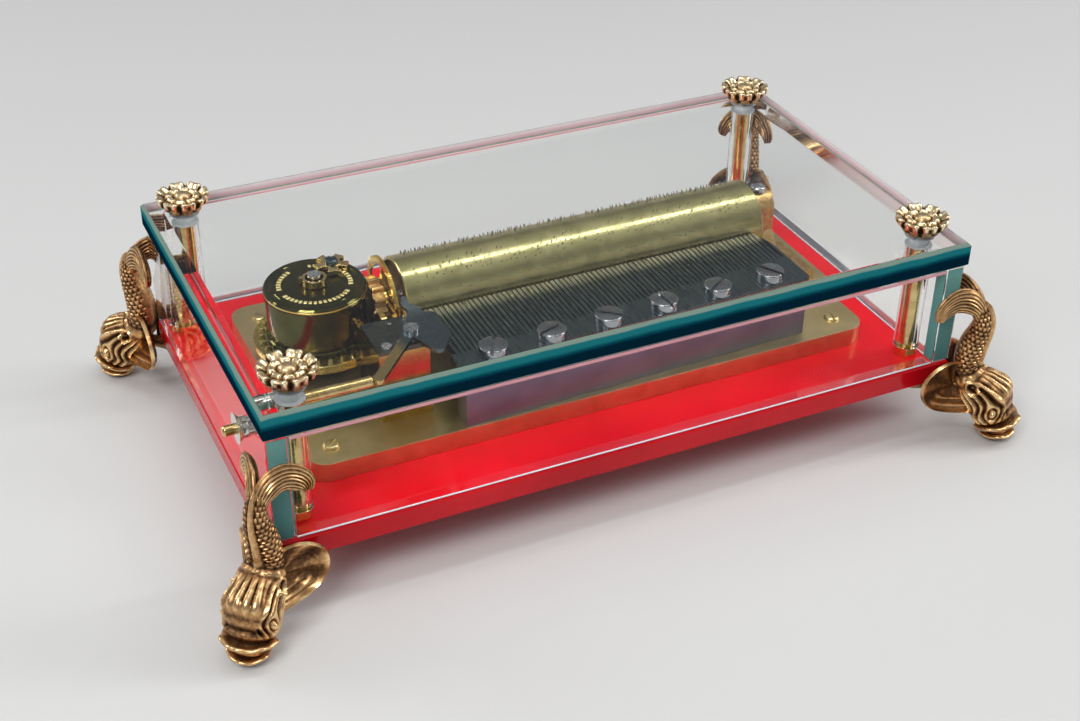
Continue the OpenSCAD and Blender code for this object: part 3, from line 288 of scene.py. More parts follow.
def comb_finish():
    """Hardened steel, ground along its teeth, bright at the tips."""
    nodes, links, shader = new_finish("comb_steel")
    tip = along(nodes, links, "Y", *COMB_TIPS_Y)
    colour = two_tone(nodes, links, tip, (0.09, 0.118, 0.125), (0.60, 0.60, 0.55), 0.0, 1.0)
    links.new(colour, shader.inputs["Base Color"])
    fine = grain_noise(nodes, links, 1500.0, (1.0, 0.06, 1.0))
    links.new(spread(nodes, links, fine, 0.22, 0.38), shader.inputs["Roughness"])
    ridged(nodes, links, fine, shader, 0.15, 0.00005)
    shader.inputs["Metallic"].default_value = 1.0


def lever_finish():
    """Dark steel at the pivot and the plate, brass along the arm to the start rod, and a horn painted pale
    blue-grey as a highlight.
    """
    nodes, links, shader = new_finish("lever_steel")
    arm_end = along(nodes, links, "X", *LEVER_ARM_X)
    colour = two_tone(nodes, links, arm_end, (0.62, 0.45, 0.18), (0.13, 0.17, 0.19), 0.0, 1.0)
    # Painted highlight: the horn is blended to pale blue-grey.
    horn_highlight = nodes.new("ShaderNodeMixRGB")
    links.new(along(nodes, links, "Y", *LEVER_HORN_Y), horn_highlight.inputs["Fac"])
    links.new(colour, horn_highlight.inputs["Color1"])
    horn_highlight.inputs["Color2"].default_value = (0.34, 0.43, 0.50, 1)
    links.new(horn_highlight.outputs["Color"], shader.inputs["Base Color"])
    fine = grain_noise(nodes, links, 2200.0)
    links.new(spread(nodes, links, fine, 0.14, 0.28), shader.inputs["Roughness"])
    shader.inputs["Metallic"].default_value = 1.0


def glowing_edge_paint(name, heights, bands, rough):
    """Colour in a glass edge, in bands from its bottom to its top, with the streaks of its polishing, glowing
    faintly as painted light.
    """
    nodes, links, shader = new_finish(name)
    climb = along(nodes, links, "Z", *heights)
    streak = grain_noise(nodes, links, 110.0, (1, 1, 2), 5.0)
    sway = nodes.new("ShaderNodeMath")
    sway.operation = "MULTIPLY_ADD"
    links.new(streak, sway.inputs[0])
    sway.inputs[1].default_value = 0.12
    links.new(climb, sway.inputs[2])
    ramp = nodes.new("ShaderNodeValToRGB")
    stops = ramp.color_ramp.elements
    stops[0].position, stops[0].color = bands[0][0], (*bands[0][1], 1)
    stops[1].position, stops[1].color = bands[-1][0], (*bands[-1][1], 1)
    for at, tone in bands[1:-1]:
        stops.new(at).color = (*tone, 1)
    links.new(sway.outputs[0], ramp.inputs["Fac"])
    links.new(ramp.outputs["Color"], shader.inputs["Base Color"])
    # Painted light: the bands glow faintly in their own colour.
    links.new(ramp.outputs["Color"], shader.inputs["Emission Color"])
    links.new(spread(nodes, links, streak, *rough), shader.inputs["Roughness"])
    shader.inputs["Emission Strength"].default_value = 0.2
    shader.inputs["Specular IOR Level"].default_value = 0.0


def frosted(name):
    """Cloudy plastic that lets a little light through."""
    nodes, links, shader = new_finish(name)
    cloud = grain_noise(nodes, links, 500.0, detail=4.0)
    colour = two_tone(nodes, links, cloud, (0.55, 0.58, 0.62), (0.78, 0.80, 0.82))
    links.new(colour, shader.inputs["Base Color"])
    links.new(spread(nodes, links, cloud, 0.25, 0.45), shader.inputs["Roughness"])
    shader.inputs["Transmission Weight"].default_value = 0.55


# Gloss of a glass edge, from the smoothest to the roughest
POLISHED, SATIN, GROUND = (0.12, 0.3), (0.2, 0.4), (0.4, 0.6)
# Heights of the strips of colour: at the ends of the walls, along their rim and at their foot
TINT_Z, RIM_Z, FOOT_LINE_Z = (24.7, 56.6), (55.7, 56.7), (24.1, 24.6)


def glowing_edge_paints():
    # The pale bands at both arrises of the plate's edge are painted highlights.
    navy, deep = (0.001, 0.014, 0.028), (0.002, 0.05, 0.075)
    teal, pale = (0.010, 0.15, 0.17), (0.17, 0.24, 0.20)
    bands = [
        (0.05, pale), (0.12, pale), (0.17, navy), (0.5, navy),
        (0.62, deep), (0.74, teal), (0.92, teal), (0.97, pale),
    ]
    glowing_edge_paint("glass_edge_tint_and_highlights", (PLATE_Z, TOP_Z), bands, POLISHED)
    bands = [(0.0, (0.06, 0.15, 0.145)), (1.0, (0.11, 0.24, 0.22))]
    glowing_edge_paint("wall_edge", (BASE_Z + 1.0, PLATE_Z), bands, POLISHED)
    # The rose is a painted reflection of the red base in the plate's edges.
    bands = [(0.2, (0.46, 0.28, 0.30)), (0.9, (0.60, 0.52, 0.54))]
    glowing_edge_paint("rose_reflection", (FLAT_LOW, FLAT_HIGH), bands, SATIN)
    bands = [(0.0, (0.48, 0.16, 0.18)), (0.9, (0.62, 0.34, 0.38))]
    glowing_edge_paint("wall_rim", (RIM_Z[0] - 0.4, RIM_Z[1]), bands, SATIN)
    bands = [(0.0, (0.40, 0.46, 0.52)), (0.9, (0.58, 0.64, 0.68))]
    glowing_edge_paint("wall_foot", (BASE_Z, FOOT_LINE_Z[1]), bands, POLISHED)
    bands = [(0.0, (0.30, 0.32, 0.33)), (0.9, (0.42, 0.44, 0.45))]
    glowing_edge_paint("ground_glass", (PLATE_Z, TOP_Z), bands, GROUND)


def make_finishes():
    glowing_edge_paints()
    frosted("frosted_washer")
    clear("glass", (0.985, 1.0, 0.995), 1.48)
    clear("wall_glass", (0.98, 0.985, 0.98), 1.12)
    clear("clear_sleeve", (0.98, 0.985, 0.985), 1.4)
    red_gloss()
    comb_finish()
    lever_finish()
    antique(
        "antique_bronze", hollow=(0.035, 0.017, 0.010), shade=(0.19, 0.095, 0.043),
        worn_tone=(0.60, 0.34, 0.15), proud=(0.95, 0.66, 0.33),
    )
    antique(
        "antique_gilt", hollow=(0.045, 0.028, 0.018), shade=(0.25, 0.15, 0.075),
        worn_tone=(0.72, 0.51, 0.26), proud=(0.98, 0.83, 0.55),
    )
    metal("brass", (0.60, 0.42, 0.16), (0.80, 0.60, 0.27), (0.14, 0.3))
    metal("gilt", (0.78, 0.56, 0.14), (0.93, 0.72, 0.26), (0.12, 0.26))
    metal(
        "satin_brass", (0.62, 0.49, 0.24), (0.72, 0.58, 0.31), (0.3, 0.42),
        patch=120.0, grain=1800.0, stretch=(0.08, 1, 1),
    )
    metal("steel", (0.50, 0.50, 0.50), (0.68, 0.68, 0.68), (0.18, 0.34))
    metal(
        "grey_iron", (0.18, 0.19, 0.27), (0.23, 0.24, 0.33), (0.42, 0.48),
        patch=90.0, grain=1600.0, stretch=(0.1, 1, 1), bump=0.0,
    )
    metal("polished_steel", (0.52, 0.53, 0.54), (0.68, 0.68, 0.68), (0.16, 0.3))
    metal(
        "cylinder_brass", (0.47, 0.43, 0.19), (0.60, 0.54, 0.26), (0.16, 0.27),
        patch=160.0, grain=2200.0, stretch=(6, 0.5, 0.5), bump=0.06,
    )
    metal("dark_brass", (0.10, 0.07, 0.035), (0.20, 0.14, 0.07), (0.3, 0.5))
    metal(
        "bronze", (0.51, 0.32, 0.12), (0.72, 0.48, 0.21), (0.24, 0.44),
        patch=420.0, grain=1400.0, bump=0.35, depth=0.00012,
    )
    metal(
        "barrel_brass", (0.075, 0.075, 0.024), (0.13, 0.115, 0.036), (0.05, 0.12),
        patch=120.0, grain=2400.0, stretch=(1, 1, 0.2), bump=0.03,
    )
    metal("spring_steel", (0.22, 0.24, 0.30), (0.32, 0.34, 0.40), (0.2, 0.35))
    metal("blued_steel", (0.055, 0.075, 0.09), (0.13, 0.17, 0.20), (0.12, 0.26))
    metal("polished_brass", (0.44, 0.28, 0.07), (0.56, 0.37, 0.12), (0.08, 0.2))
    metal(
        "grey_steel", (0.075, 0.09, 0.075), (0.11, 0.125, 0.105), (0.24, 0.28),
        patch=90.0, grain=1800.0, stretch=(0.1, 1, 1), bump=0.0,
    )
    metal("crown_brass", (0.38, 0.31, 0.10), (0.50, 0.40, 0.14), (0.24, 0.36))
    metal("lid_gilt", (0.70, 0.58, 0.24), (0.86, 0.74, 0.36), (0.45, 0.6))
    metal("screw_steel", (0.34, 0.35, 0.37), (0.44, 0.45, 0.47), (0.08, 0.16), bump=0.02)
    metal("pin_steel", (0.10, 0.09, 0.07), (0.16, 0.14, 0.11), (0.3, 0.5))
    metal("nickel", (0.74, 0.72, 0.67), (0.88, 0.86, 0.81), (0.1, 0.22))


# Making pieces

def alone(piece):
    bpy.ops.object.select_all(action="DESELECT")
    piece.select_set(True)
    bpy.context.view_layer.objects.active = piece


def dressed(piece, body, slot, nodes=(), angle=40.0, finish=None):
    """Smooths a finished piece, gives it its finish and sets it on its body."""
    alone(piece)
    bpy.ops.object.transform_apply(location=True, rotation=True, scale=True)
    bpy.ops.object.shade_smooth_by_angle(angle=math.radians(angle))
    piece.data.materials.clear()
    piece.data.materials.append(FINISH[finish or slot])
    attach(piece, body)
    if nodes:
        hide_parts(*nodes)
    return piece


def copied(piece, name):
    twin = piece.copy()
    twin.data = piece.data.copy()
    twin.name = twin.data.name = name
    bpy.context.scene.collection.objects.link(twin)
    return twin


def loose_copy(node, name):
    """A copy of a node's solid, free of the frame."""
    piece = copied(NODE[node], name)
    piece.parent = None
    for key in list(piece.keys()):
        del piece[key]
    return piece


def joined(pieces, name):
    bpy.ops.object.select_all(action="DESELECT")
    for piece in pieces:
        piece.select_set(True)
    bpy.context.view_layer.objects.active = pieces[0]
    bpy.ops.object.join()
    pieces[0].name = pieces[0].data.name = name
    return pieces[0]


def merged(fill):
    """In edit mode: merges doubles, drops slivers, fills open ends if asked and turns the faces outwards."""
    bpy.ops.mesh.select_all(action="SELECT")
    bpy.ops.mesh.remove_doubles(threshold=1e-6)
    bpy.ops.mesh.dissolve_degenerate(threshold=1e-7)
    if fill:
        bpy.ops.mesh.select_all(action="SELECT")
        bpy.ops.mesh.fill_holes(sides=0)
    bpy.ops.mesh.select_all(action="SELECT")
    bpy.ops.mesh.normals_make_consistent(inside=False)
    bpy.ops.object.mode_set(mode="OBJECT")


def rolled(name, rows, sides, place):
    """A grid rolled into a closed skin. place(u, v) gives a corner in millimetres and its tone: patina and
    wear from its relief, and painted shade on undersides and backs.
    """
    bpy.ops.object.select_all(action="DESELECT")
    bpy.ops.mesh.primitive_grid_add(x_subdivisions=rows, y_subdivisions=sides, size=1.0)
    skin = bpy.context.object
    skin.name = skin.data.name = name
    patina_and_shade = skin.data.attributes.new("patina_and_shade", "FLOAT", "POINT")
    for corner in skin.data.vertices:
        spot, high = place(corner.co.x + 0.5, corner.co.y + 0.5)
        patina_and_shade.data[corner.index].value = high
        corner.co = Vector(spot) * MM
    bpy.ops.object.mode_set(mode="EDIT")
    merged(fill=True)
    return skin


def turned(name, outline, place, axis="Z", steps=96):
    """A turned piece: a closed outline of (radius, height) spun about its axis."""
    bpy.ops.object.select_all(action="DESELECT")
    bpy.ops.mesh.primitive_circle_add(vertices=len(outline), radius=0.01)
    piece = bpy.context.object
    piece.name = piece.data.name = name
    for corner, (radius, height) in zip(piece.data.vertices, outline):
        corner.co = (radius * MM, 0.0, height * MM)
    bpy.ops.object.mode_set(mode="EDIT")
    bpy.ops.mesh.select_all(action="SELECT")
    bpy.ops.mesh.spin(steps=steps, angle=2 * math.pi, center=(0, 0, 0), axis=(0, 0, 1))
    merged(fill=False)
    piece.location = Vector(place) * MM
    if axis == "X":
        piece.rotation_euler = (0, math.pi / 2, 0)
    return piece


def eased(node, width, slot, body, finish=None, gap=0.0, segments=2, limit=32.0):
    """The solid of a node with its sharp edges broken, as a file leaves them, a gap smaller all round."""
    piece = loose_copy(node, node + "_eased")
    low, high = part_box(node)
    for corner in piece.data.vertices:
        for axis in range(3):
            corner.co[axis] += gap * MM * (1 if corner.co[axis] < (low[axis] + high[axis]) / 2 else -1)
    alone(piece)
    bpy.ops.object.mode_set(mode="EDIT")
    bpy.ops.mesh.select_all(action="SELECT")
    bpy.ops.mesh.remove_doubles(threshold=2e-6)
    bpy.ops.mesh.dissolve_limited(angle_limit=math.radians(0.6))
    bpy.ops.object.mode_set(mode="OBJECT")
    edge = piece.modifiers.new("broken_edges", "BEVEL")
    edge.width = width * MM
    edge.segments = segments
    edge.limit_method = "ANGLE"
    edge.angle_limit = math.radians(limit)
    edge.harden_normals = False
    bpy.ops.object.modifier_apply(modifier="broken_edges")
    dressed(piece, body, slot, (node,), finish=finish)
    level = piece.modifiers.new("level_faces", "WEIGHTED_NORMAL")
    level.keep_sharp = True
    level.weight = 100
    bpy.ops.object.modifier_apply(modifier="level_faces")
    return piece


def screw(name, place, head_r, head_h, shank_r, shank_l, slot_w, turn, dome=0.45):
    """A slotted screw: a domed head, a shank under it and a sawn slot."""
    bpy.ops.object.select_all(action="DESELECT")
    bpy.ops.mesh.primitive_cylinder_add(
        vertices=40, radius=head_r * MM, depth=head_h * MM, location=(0, 0, head_h * MM / 2)
    )
    piece = bpy.context.object
    piece.name = piece.data.name = name
    bpy.ops.object.transform_apply(location=True)
    bpy.ops.object.mode_set(mode="EDIT")
    bpy.ops.mesh.select_mode(type="FACE")
    bpy.ops.mesh.select_all(action="DESELECT")
    bpy.ops.object.mode_set(mode="OBJECT")
    for face in piece.data.polygons:
        face.select = face.normal.z < -0.9
    bpy.ops.object.mode_set(mode="EDIT")
    bpy.ops.mesh.inset(thickness=(head_r - shank_r) * MM, depth=0)
    bpy.ops.mesh.extrude_region_move(TRANSFORM_OT_translate={"value": (0, 0, -shank_l * MM)})
    bpy.ops.mesh.select_all(action="DESELECT")
    bpy.ops.object.mode_set(mode="OBJECT")
    for face in piece.data.polygons:
        face.select = face.normal.z > 0.9 and face.center.z > head_h * MM * 0.9
    bpy.ops.object.mode_set(mode="EDIT")
    bpy.ops.mesh.region_to_loop()
    bpy.ops.mesh.bevel(offset=head_h * dome * MM, segments=4)
    bpy.ops.object.mode_set(mode="OBJECT")
    bpy.ops.object.select_all(action="DESELECT")
    bpy.ops.mesh.primitive_cube_add(size=1.0, location=(0, 0, head_h * MM))
    saw = bpy.context.object
    saw.scale = (head_r * 2.4 * MM, slot_w * MM, head_h * 0.9 * MM)
    saw.rotation_euler = (0, 0, math.radians(turn))
    bpy.context.view_layer.update()
    cut = piece.modifiers.new("sawn_slot", "BOOLEAN")
    cut.operation = "DIFFERENCE"
    cut.solver = "EXACT"
    cut.object = saw
    alone(piece)
    bpy.ops.object.modifier_apply(modifier="sawn_slot")
    bpy.data.objects.remove(saw)
    piece.location = Vector(place) * MM
    return piece


# Dolphin feet: out along the case's diagonal, across, up

def smooth_path(stops, u):
    """A point on the smooth line through the stops, and its direction."""
    last = len(stops) - 1
    whole = min(max(u, 0.0), 1.0) * last
    i = min(int(whole), last - 1)
    t = whole - i
    a, b, c, d = (stops[min(max(k, 0), last)] for k in (i - 1, i, i + 1, i + 2))
    spot, way = [], []
    for p, q, r, s in zip(a, b, c, d):
        m0, m1 = (r - p) / 2, (s - q) / 2
        spot.append(
            (2 * t**3 - 3 * t * t + 1) * q + (t**3 - 2 * t * t + t) * m0
            + (3 * t * t - 2 * t**3) * r + (t**3 - t * t) * m1
        )
        way.append(
            (6 * t * t - 6 * t) * q + (3 * t * t - 4 * t + 1) * m0
            + (6 * t - 6 * t * t) * r + (3 * t * t - 2 * t) * m1
        )
    return spot, way


def bell(x, centre, width):
    return math.exp(-(((x - centre) / width) ** 2))


def step(x, low, high):
    t = min(max((x - low) / (high - low), 0.0), 1.0)
    return t * t * (3 - 2 * t)


# What a foot's curved skin keeps clear of the floor and of the case's faces
FOOT_LIFT = 0.35
# Out, height, half depth and half width from the tail's root to the mouth
DOLPHIN = [
    (3.0, 47.0, 1.5, 2.0),
    (5.6, 44.2, 2.2, 2.5),
    (6.9, 40.3, 2.7, 2.9),
    (6.5, 36.4, 3.3, 3.5),
    (5.4, 32.6, 3.8, 4.1),
    (4.6, 28.6, 4.0, 4.6),
    (4.4, 24.8, 3.9, 4.9),
    (5.8, 20.9, 4.6, 5.6),
    (9.0, 17.2, 6.3, 6.6),
    (12.2, 13.4, 7.1, 7.2),
    (14.8, 9.6, 6.7, 7.0),
    (16.4, 6.8, 5.4, 6.2),
    (17.3, 3.4, 3.6, 4.6),
]


def fish_scale(down, around):
    """How proud the scales stand: rows of round tips, each row half a scale on from the last."""
    row = math.floor(down)
    x = (around + 0.5 * (row % 2)) % 1.0 - 0.5
    y = down - row
    edge = 1.0 - (2 * x) ** 2
    return max(0.0, edge) ** 0.6 * (0.25 + 0.75 * y)


def dolphin_skin(u, v):
    """The body with its scales and ridge, the collar, and the head with lobes, hair, eyes and mouth."""
    (out, up, deep, wide), (d_out, d_up, _, _) = smooth_path(DOLPHIN, u)
    size = math.hypot(d_out, d_up) or 1.0
    normal = (-d_up / size, d_out / size)
    angle = 2 * math.pi * v
    back, side = math.cos(angle), math.sin(angle)
    far = abs(angle if angle < math.pi else 2 * math.pi - angle)
    patina_and_shade, lift = 0.6, 0.0
    body = step(u, 0.04, 0.12) * (1 - step(u, 0.50, 0.57))
    if body > 0:
        scale = fish_scale((1 - u) * 36, v * 14)
        flank = (1 - step(-back, 0.72, 0.95)) * step(far, 0.25, 0.4)
        lift += body * flank * 0.6 * (scale - 0.35)
        patina_and_shade += body * flank * (scale - 0.62) * 1.0
    ridge = bell(far, 0.0, 0.15) * step(u, 0.02, 0.1) * (1 - step(u, 0.56, 0.62))
    lift += ridge * 1.2
    patina_and_shade += ridge * 0.25 - bell(far, 0.36, 0.08) * body * 0.4
    collar = bell(u, 0.575, 0.02) * (0.7 + 0.3 * math.cos(angle * 11))
    lift += collar * 0.6
    patina_and_shade += collar * 0.25 - bell(u, 0.54, 0.014) * 0.4 - bell(u, 0.607, 0.012) * 0.3
    head = step(u, 0.60, 0.66) * (1 - step(u, 0.84, 0.9))
    brow = head * (1 - step(far, 0.8, 1.05))
    bow = min(abs(far - 0.15), abs(far - 0.45)) / 0.15
    lobe_end = 0.752 - 0.035 * bow * bow
    lobe = head * (1 - step(far, 0.56, 0.66)) * (1 - step(u, lobe_end, lobe_end + 0.02))
    groove = lobe * sum(bell(far, at, 0.055) for at in (0.0, 0.30, 0.60))
    ball = brow * bell(u, 0.73, 0.06)
    chin = brow * bell(u, 0.85, 0.025)
    lift += 1.5 * ball + 0.5 * lobe - 0.65 * groove - 1.1 * chin
    patina_and_shade += 0.1 * ball + 0.25 * lobe - 0.85 * groove - 0.5 * chin - 0.3 * brow * bell(u, 0.785, 0.012)
    flow = head * step(far, 0.64, 0.78) * (1 - step(far, 2.35, 2.6))
    drift = (far - 1.45) * 7.0 + 1.6 * math.sin((u - 0.62) * 15)
    eye_gap = math.hypot((u - 0.80) * 52, drift)
    strand = math.copysign(max(0.0, abs(drift) - 2.1 * bell(u, 0.80, 0.045)), drift)
    wave = math.cos(strand * 2.6)
    lift += flow * 0.6 * wave
    patina_and_shade += flow * 0.5 * (wave - 0.1)
    eye, socket = bell(eye_gap, 0.0, 0.75), bell(eye_gap, 1.4, 0.4)
    curl_gap = math.hypot((u - 0.63) * 52, (far - 1.5) * 6)
    curl, hollow = bell(curl_gap, 1.8, 0.45), bell(curl_gap, 0.7, 0.5)
    lift += 0.8 * eye - 0.8 * socket + 0.75 * curl - 0.6 * hollow
    patina_and_shade += 0.35 * eye - 0.9 * socket + 0.4 * curl - 0.6 * hollow
    mouth = bell(u, 0.91, 0.022)
    lift -= mouth * 1.0
    patina_and_shade -= mouth * 0.5
    off = (deep + lift) * back
    return (out + off * normal[0], (wide + lift) * side, max(up + off * normal[1], FOOT_LIFT)), patina_and_shade


def lip(centre, reach, width, thick, tilt, waves):
    """A flared lip: a tilted disc with a rolled, wavy rim and a hollow face."""
    lean = math.radians(tilt)

    def place(u, v):
        angle = 2 * math.pi * v
        profile = 2 * math.pi * u
        rim = 0.6 - 0.4 * math.cos(profile)
        height = thick * math.sin(profile) * (0.55 + 0.45 * rim)
        rim = rim * (1 + 0.035 * math.cos(angle * waves))
        x = reach * rim * math.cos(angle)
        y = width * rim * math.sin(angle)
        z = height + 0.45 * (rim ** 3 - 0.5) + 0.25 * math.cos(angle * waves) * rim * rim
        z += 0.8 * rim * math.sin(angle) ** 2
        # Painted shade: the lip's underside is 0.2 darker. Above it the tone rises from dark patina in the
        # hollow to worn gold at the rim.
        patina_and_shade = 0.42 + 0.5 * rim ** 3 - (0.2 if math.sin(profile) < -0.2 else 0.0)
        spot = (
            centre[0] + x * math.cos(lean) - z * math.sin(lean),
            y,
            max(0.0, centre[1] + x * math.sin(lean) + z * math.cos(lean)),
        )
        return spot, patina_and_shade

    return place


def edge_spot(hand, along_edge, off, up):
    """A spot beside a case edge: along it from the corner, off its face and up."""
    half = math.sqrt(0.5)
    return (half * (off - along_edge), hand * half * (along_edge + off), up)


# Direction in degrees and reach of the fin's rim, from its top round to its foot
SHELL_RIM = [
    (86, 10.4), (70, 11.6), (50, 13.0), (25, 14.2), (4, 13.4),
    (-20, 11.2), (-42, 8.8), (-66, 6.8), (-92, 5.4),
]


def shell_fin(hand):
    """A ribbed shell fin, cupped over the base plate's edge beside the corner."""

    def place(u, v):
        (turn, reach), _ = smooth_path(SHELL_RIM, u)
        front = v < 0.5
        share = 2 * v if front else 2 * (1 - v)
        rib = math.cos(u * 2 * math.pi * 4.5)
        rim = bell(share, 1.0, 0.1)
        low = step(u, 0.5, 0.75)
        fold = low * step(share, 0.35, 0.55) * (0.5 + 0.5 * math.cos((1 - share) * 2 * math.pi * 4.0))
        cup = 4.4 * share * share + 1.6 * abs(u - 0.5) * share
        thick = 0.55 + 0.5 * rim
        off = 1.2 + 1.1 * (1 - share) + cup * 0.75 + rib * 0.55 * share * (1 - rim) * (1 - low) + 0.9 * fold
        off += thick if front else -thick * 0.2
        pull = 4.6 * step(u, 0.66, 1.0) * share
        along_edge = 0.2 + reach * share * math.cos(math.radians(turn)) - pull
        up = 16.4 + reach * share * math.sin(math.radians(turn))
        # Painted shade: the fin's back, towards the case, is 0.3 darker.
        patina_and_shade = 0.36 + 0.3 * rib * share * (1 - low) + 0.6 * rim + 0.5 * fold - (0.0 if front else 0.3)
        return edge_spot(hand, along_edge, max(off + pull, FOOT_LIFT), up), patina_and_shade

    return place


# Along the case's edge, off its face, up, half width and half thickness
FLUKE = [
    (-3.6, 4.6, 40.8, 1.6, 1.6),
    (-2.6, 4.4, 44.4, 2.9, 1.7),
    (0.4, 3.5, 47.0, 3.9, 1.6),
    (3.8, 2.7, 47.6, 4.2, 1.4),
    (7.0, 2.4, 46.4, 3.8, 1.25),
    (9.2, 2.4, 44.2, 2.9, 1.05),
    (9.8, 2.5, 41.8, 1.2, 0.6),
]


def fluke(hand):
    """One half of the tail: a grooved leaf that curls down over the glass."""

    def place(u, v):
        (along_edge, off, up, wide, thick), (d_along, _, d_up, _, _) = smooth_path(FLUKE, u)
        size = math.hypot(d_along, d_up) or 1.0
        normal = (-d_up / size, d_along / size)
        angle = 2 * math.pi * v
        across, proud = math.cos(angle), math.sin(angle)
        groove = math.cos(across * 24)
        ridge = 0.24 * groove * step(u, 0.12, 0.3) * abs(proud)
        spread_out = wide * across
        lift = (thick + ridge) * proud + 0.9 * across * across * step(u, 0.3, 0.9)
        spot = edge_spot(
            hand, along_edge + normal[0] * spread_out, max(off + lift, FOOT_LIFT), up + normal[1] * spread_out
        )
        # Painted shade: the fluke's back, towards the case, is 0.3 darker. The grooves are patina.
        return spot, 0.6 + 0.4 * groove * abs(proud) - (0.3 if proud < -0.3 else 0.0)

    return place


# Out, up, half width and half thickness of the leaf that points up behind the tail
TAIL_LEAF = [(5.4, 42.6, 1.6, 1.3), (4.4, 44.8, 2.0, 1.4), (3.2, 46.6, 1.4, 1.0), (2.2, 47.8, 0.4, 0.35)]


def tail_leaf(u, v):
    (out, up, wide, thick), (d_out, d_up, _, _) = smooth_path(TAIL_LEAF, u)
    size = math.hypot(d_out, d_up) or 1.0
    angle = 2 * math.pi * v
    across, proud = math.cos(angle), math.sin(angle)
    groove = math.cos(across * 8)
    lift = (thick + 0.2 * groove * abs(proud)) * proud
    spot = (out + lift * d_up / size, wide * across, up - lift * d_out / size)
    return spot, 0.6 + 0.35 * groove * abs(proud)


def tongue(u, v):
    """The flat tongue under the base plate that the corner rod goes through."""
    angle = 2 * math.pi * v
    across = math.copysign(abs(math.cos(angle)) ** 0.3, math.cos(angle))
    upright = math.copysign(abs(math.sin(angle)) ** 0.3, math.sin(angle))
    out = -18.8 + 23.0 * u
    half = min(5.2 - 1.2 * bell(u, 0.0, 0.12), max(1.6, -0.8 * out - 1.6))
    return (out, half * across, 15.5 + 1.45 * upright), 0.5


def make_dolphins():
    parts = [
        rolled("dolphin", 180, 128, dolphin_skin),
        rolled("upper_lip", 24, 84, lip((16.6, 5.6), 7.1, 7.8, 1.1, 18.0, 7)),
        rolled("lower_lip", 20, 72, lip((17.0, 1.75), 5.4, 6.0, 0.95, 7.0, 5)),
        rolled("tail_leaf", 24, 24, tail_leaf),
        rolled("tongue", 10, 24, tongue),
    ]
    for hand in (1, -1):
        parts.append(rolled("shell_fin", 80, 72, shell_fin(hand)))
        parts.append(rolled("fluke", 44, 112, fluke(hand)))
    model = joined(parts, "dolphin")
    for corner, (sx, sy) in CORNERS.items():
        foot = copied(model, "dolphin_" + corner)
        foot.matrix_world = (
            Matrix.Translation((sx * CASE_L / 2 * MM, sy * CASE_W / 2 * MM, 0))
            @ Matrix.Rotation(math.atan2(sy, sx), 4, "Z")
        )
        dressed(foot, "case", "antique_bronze", ("foot_" + corner,), 60.0)
    bpy.data.objects.remove(model)


# The washer under a rosette nut
WASHER_T = 1.5
# Rosette nuts: radius and height from the dome's top over the petals to the underside
ROSETTE = [
    (0.0, 5.3), (1.2, 5.15), (2.1, 4.6), (2.5, 3.9), (2.8, 3.6), (3.5, 4.1), (4.5, 4.3), (5.1, 3.8),
    (5.5, 3.4), (6.4, 4.2), (7.3, 4.65), (7.85, 4.4), (7.9, 3.5), (7.6, 2.4), (6.7, 1.8), (5.6, 1.7),
    (5.5, 1.4), (5.5, 0.5), (5.2, 0.0), (2.6, 0.0), (2.3, 0.3), (2.3, 3.2), (0.0, 3.4),
]


def rosette_skin(u, v):
    """A dome in a ring of buds and a ring of ribbed petals, over a notched nut."""
    (radius, height), _ = smooth_path(ROSETTE, u)
    angle = 2 * math.pi * v
    upper, lower = u < 0.66, 0.66 <= u < 0.86
    outer = step(radius, 5.0, 6.4) if upper else 0.0
    inner = bell(radius, 4.0, 1.1) if u < 0.45 else 0.0
    nut = step(radius, 3.0, 5.0) if lower else 0.0
    petal = min(1.0, 1.7 * abs(math.cos(angle * 4)))
    vein = -math.cos(angle * 16)
    bud = min(1.0, 1.5 * abs(math.cos(angle * 4 + math.pi / 2)))
    wall = step(u, 0.50, 0.55) * (1 - step(u, 0.64, 0.68))
    notch = 0.12 * outer * (1 - petal) + 0.14 * inner * (1 - bud) + 0.13 * nut * (1 - petal)
    notch += 0.035 * wall * (1 - vein)
    height += outer * (0.75 * (petal - 0.8) + 0.16 * vein) + inner * 0.9 * (bud - 0.6)
    patina_and_shade = 0.78 + outer * (1.1 * (petal - 0.8) + 0.28 * vein)
    patina_and_shade += inner * (bud - 0.6) + nut * 0.5 * (petal - 0.9)
    # Painted shade: under the petals, the nut and the bottom are 0.3 darker, and the petals' outer side is
    # 0.4 darker with its ribs lighter as wear. The rings at radius 2.75 and 5.3 are patina in the valleys.
    if upper:
        patina_and_shade -= 0.6 * bell(radius, 2.75, 0.4) + 0.6 * bell(radius, 5.3, 0.4)
    elif radius < 5.3 or lower:
        patina_and_shade -= 0.3
    patina_and_shade += wall * (0.3 * vein - 0.4)
    reach = radius * (1 - notch)
    return (reach * math.cos(angle), reach * math.sin(angle), height), patina_and_shade


def make_rosettes():
    model = rolled("rosette", 120, 128, rosette_skin)
    for turn, (corner, (sx, sy)) in enumerate(CORNERS.items()):
        nut = copied(model, "rosette_nut_" + corner)
        nut.matrix_world = (
            Matrix.Translation((sx * POST_X * MM, sy * POST_Y * MM, (TOP_Z + WASHER_T) * MM))
            @ Matrix.Rotation(math.radians(11 + 17 * turn), 4, "Z")
        )
        dressed(nut, "case", "antique_bronze", ("rosette_" + corner,), 60.0, "antique_gilt")
    bpy.data.objects.remove(model)


# Cylinder and its pins

TUBE_WALL, TUBE_EASE = 1.0, 0.3
PIN_ROOT_R, PIN_TIP_R, PIN_L, PIN_MIDDLE = 0.17, 0.11, 1.0, 0.18
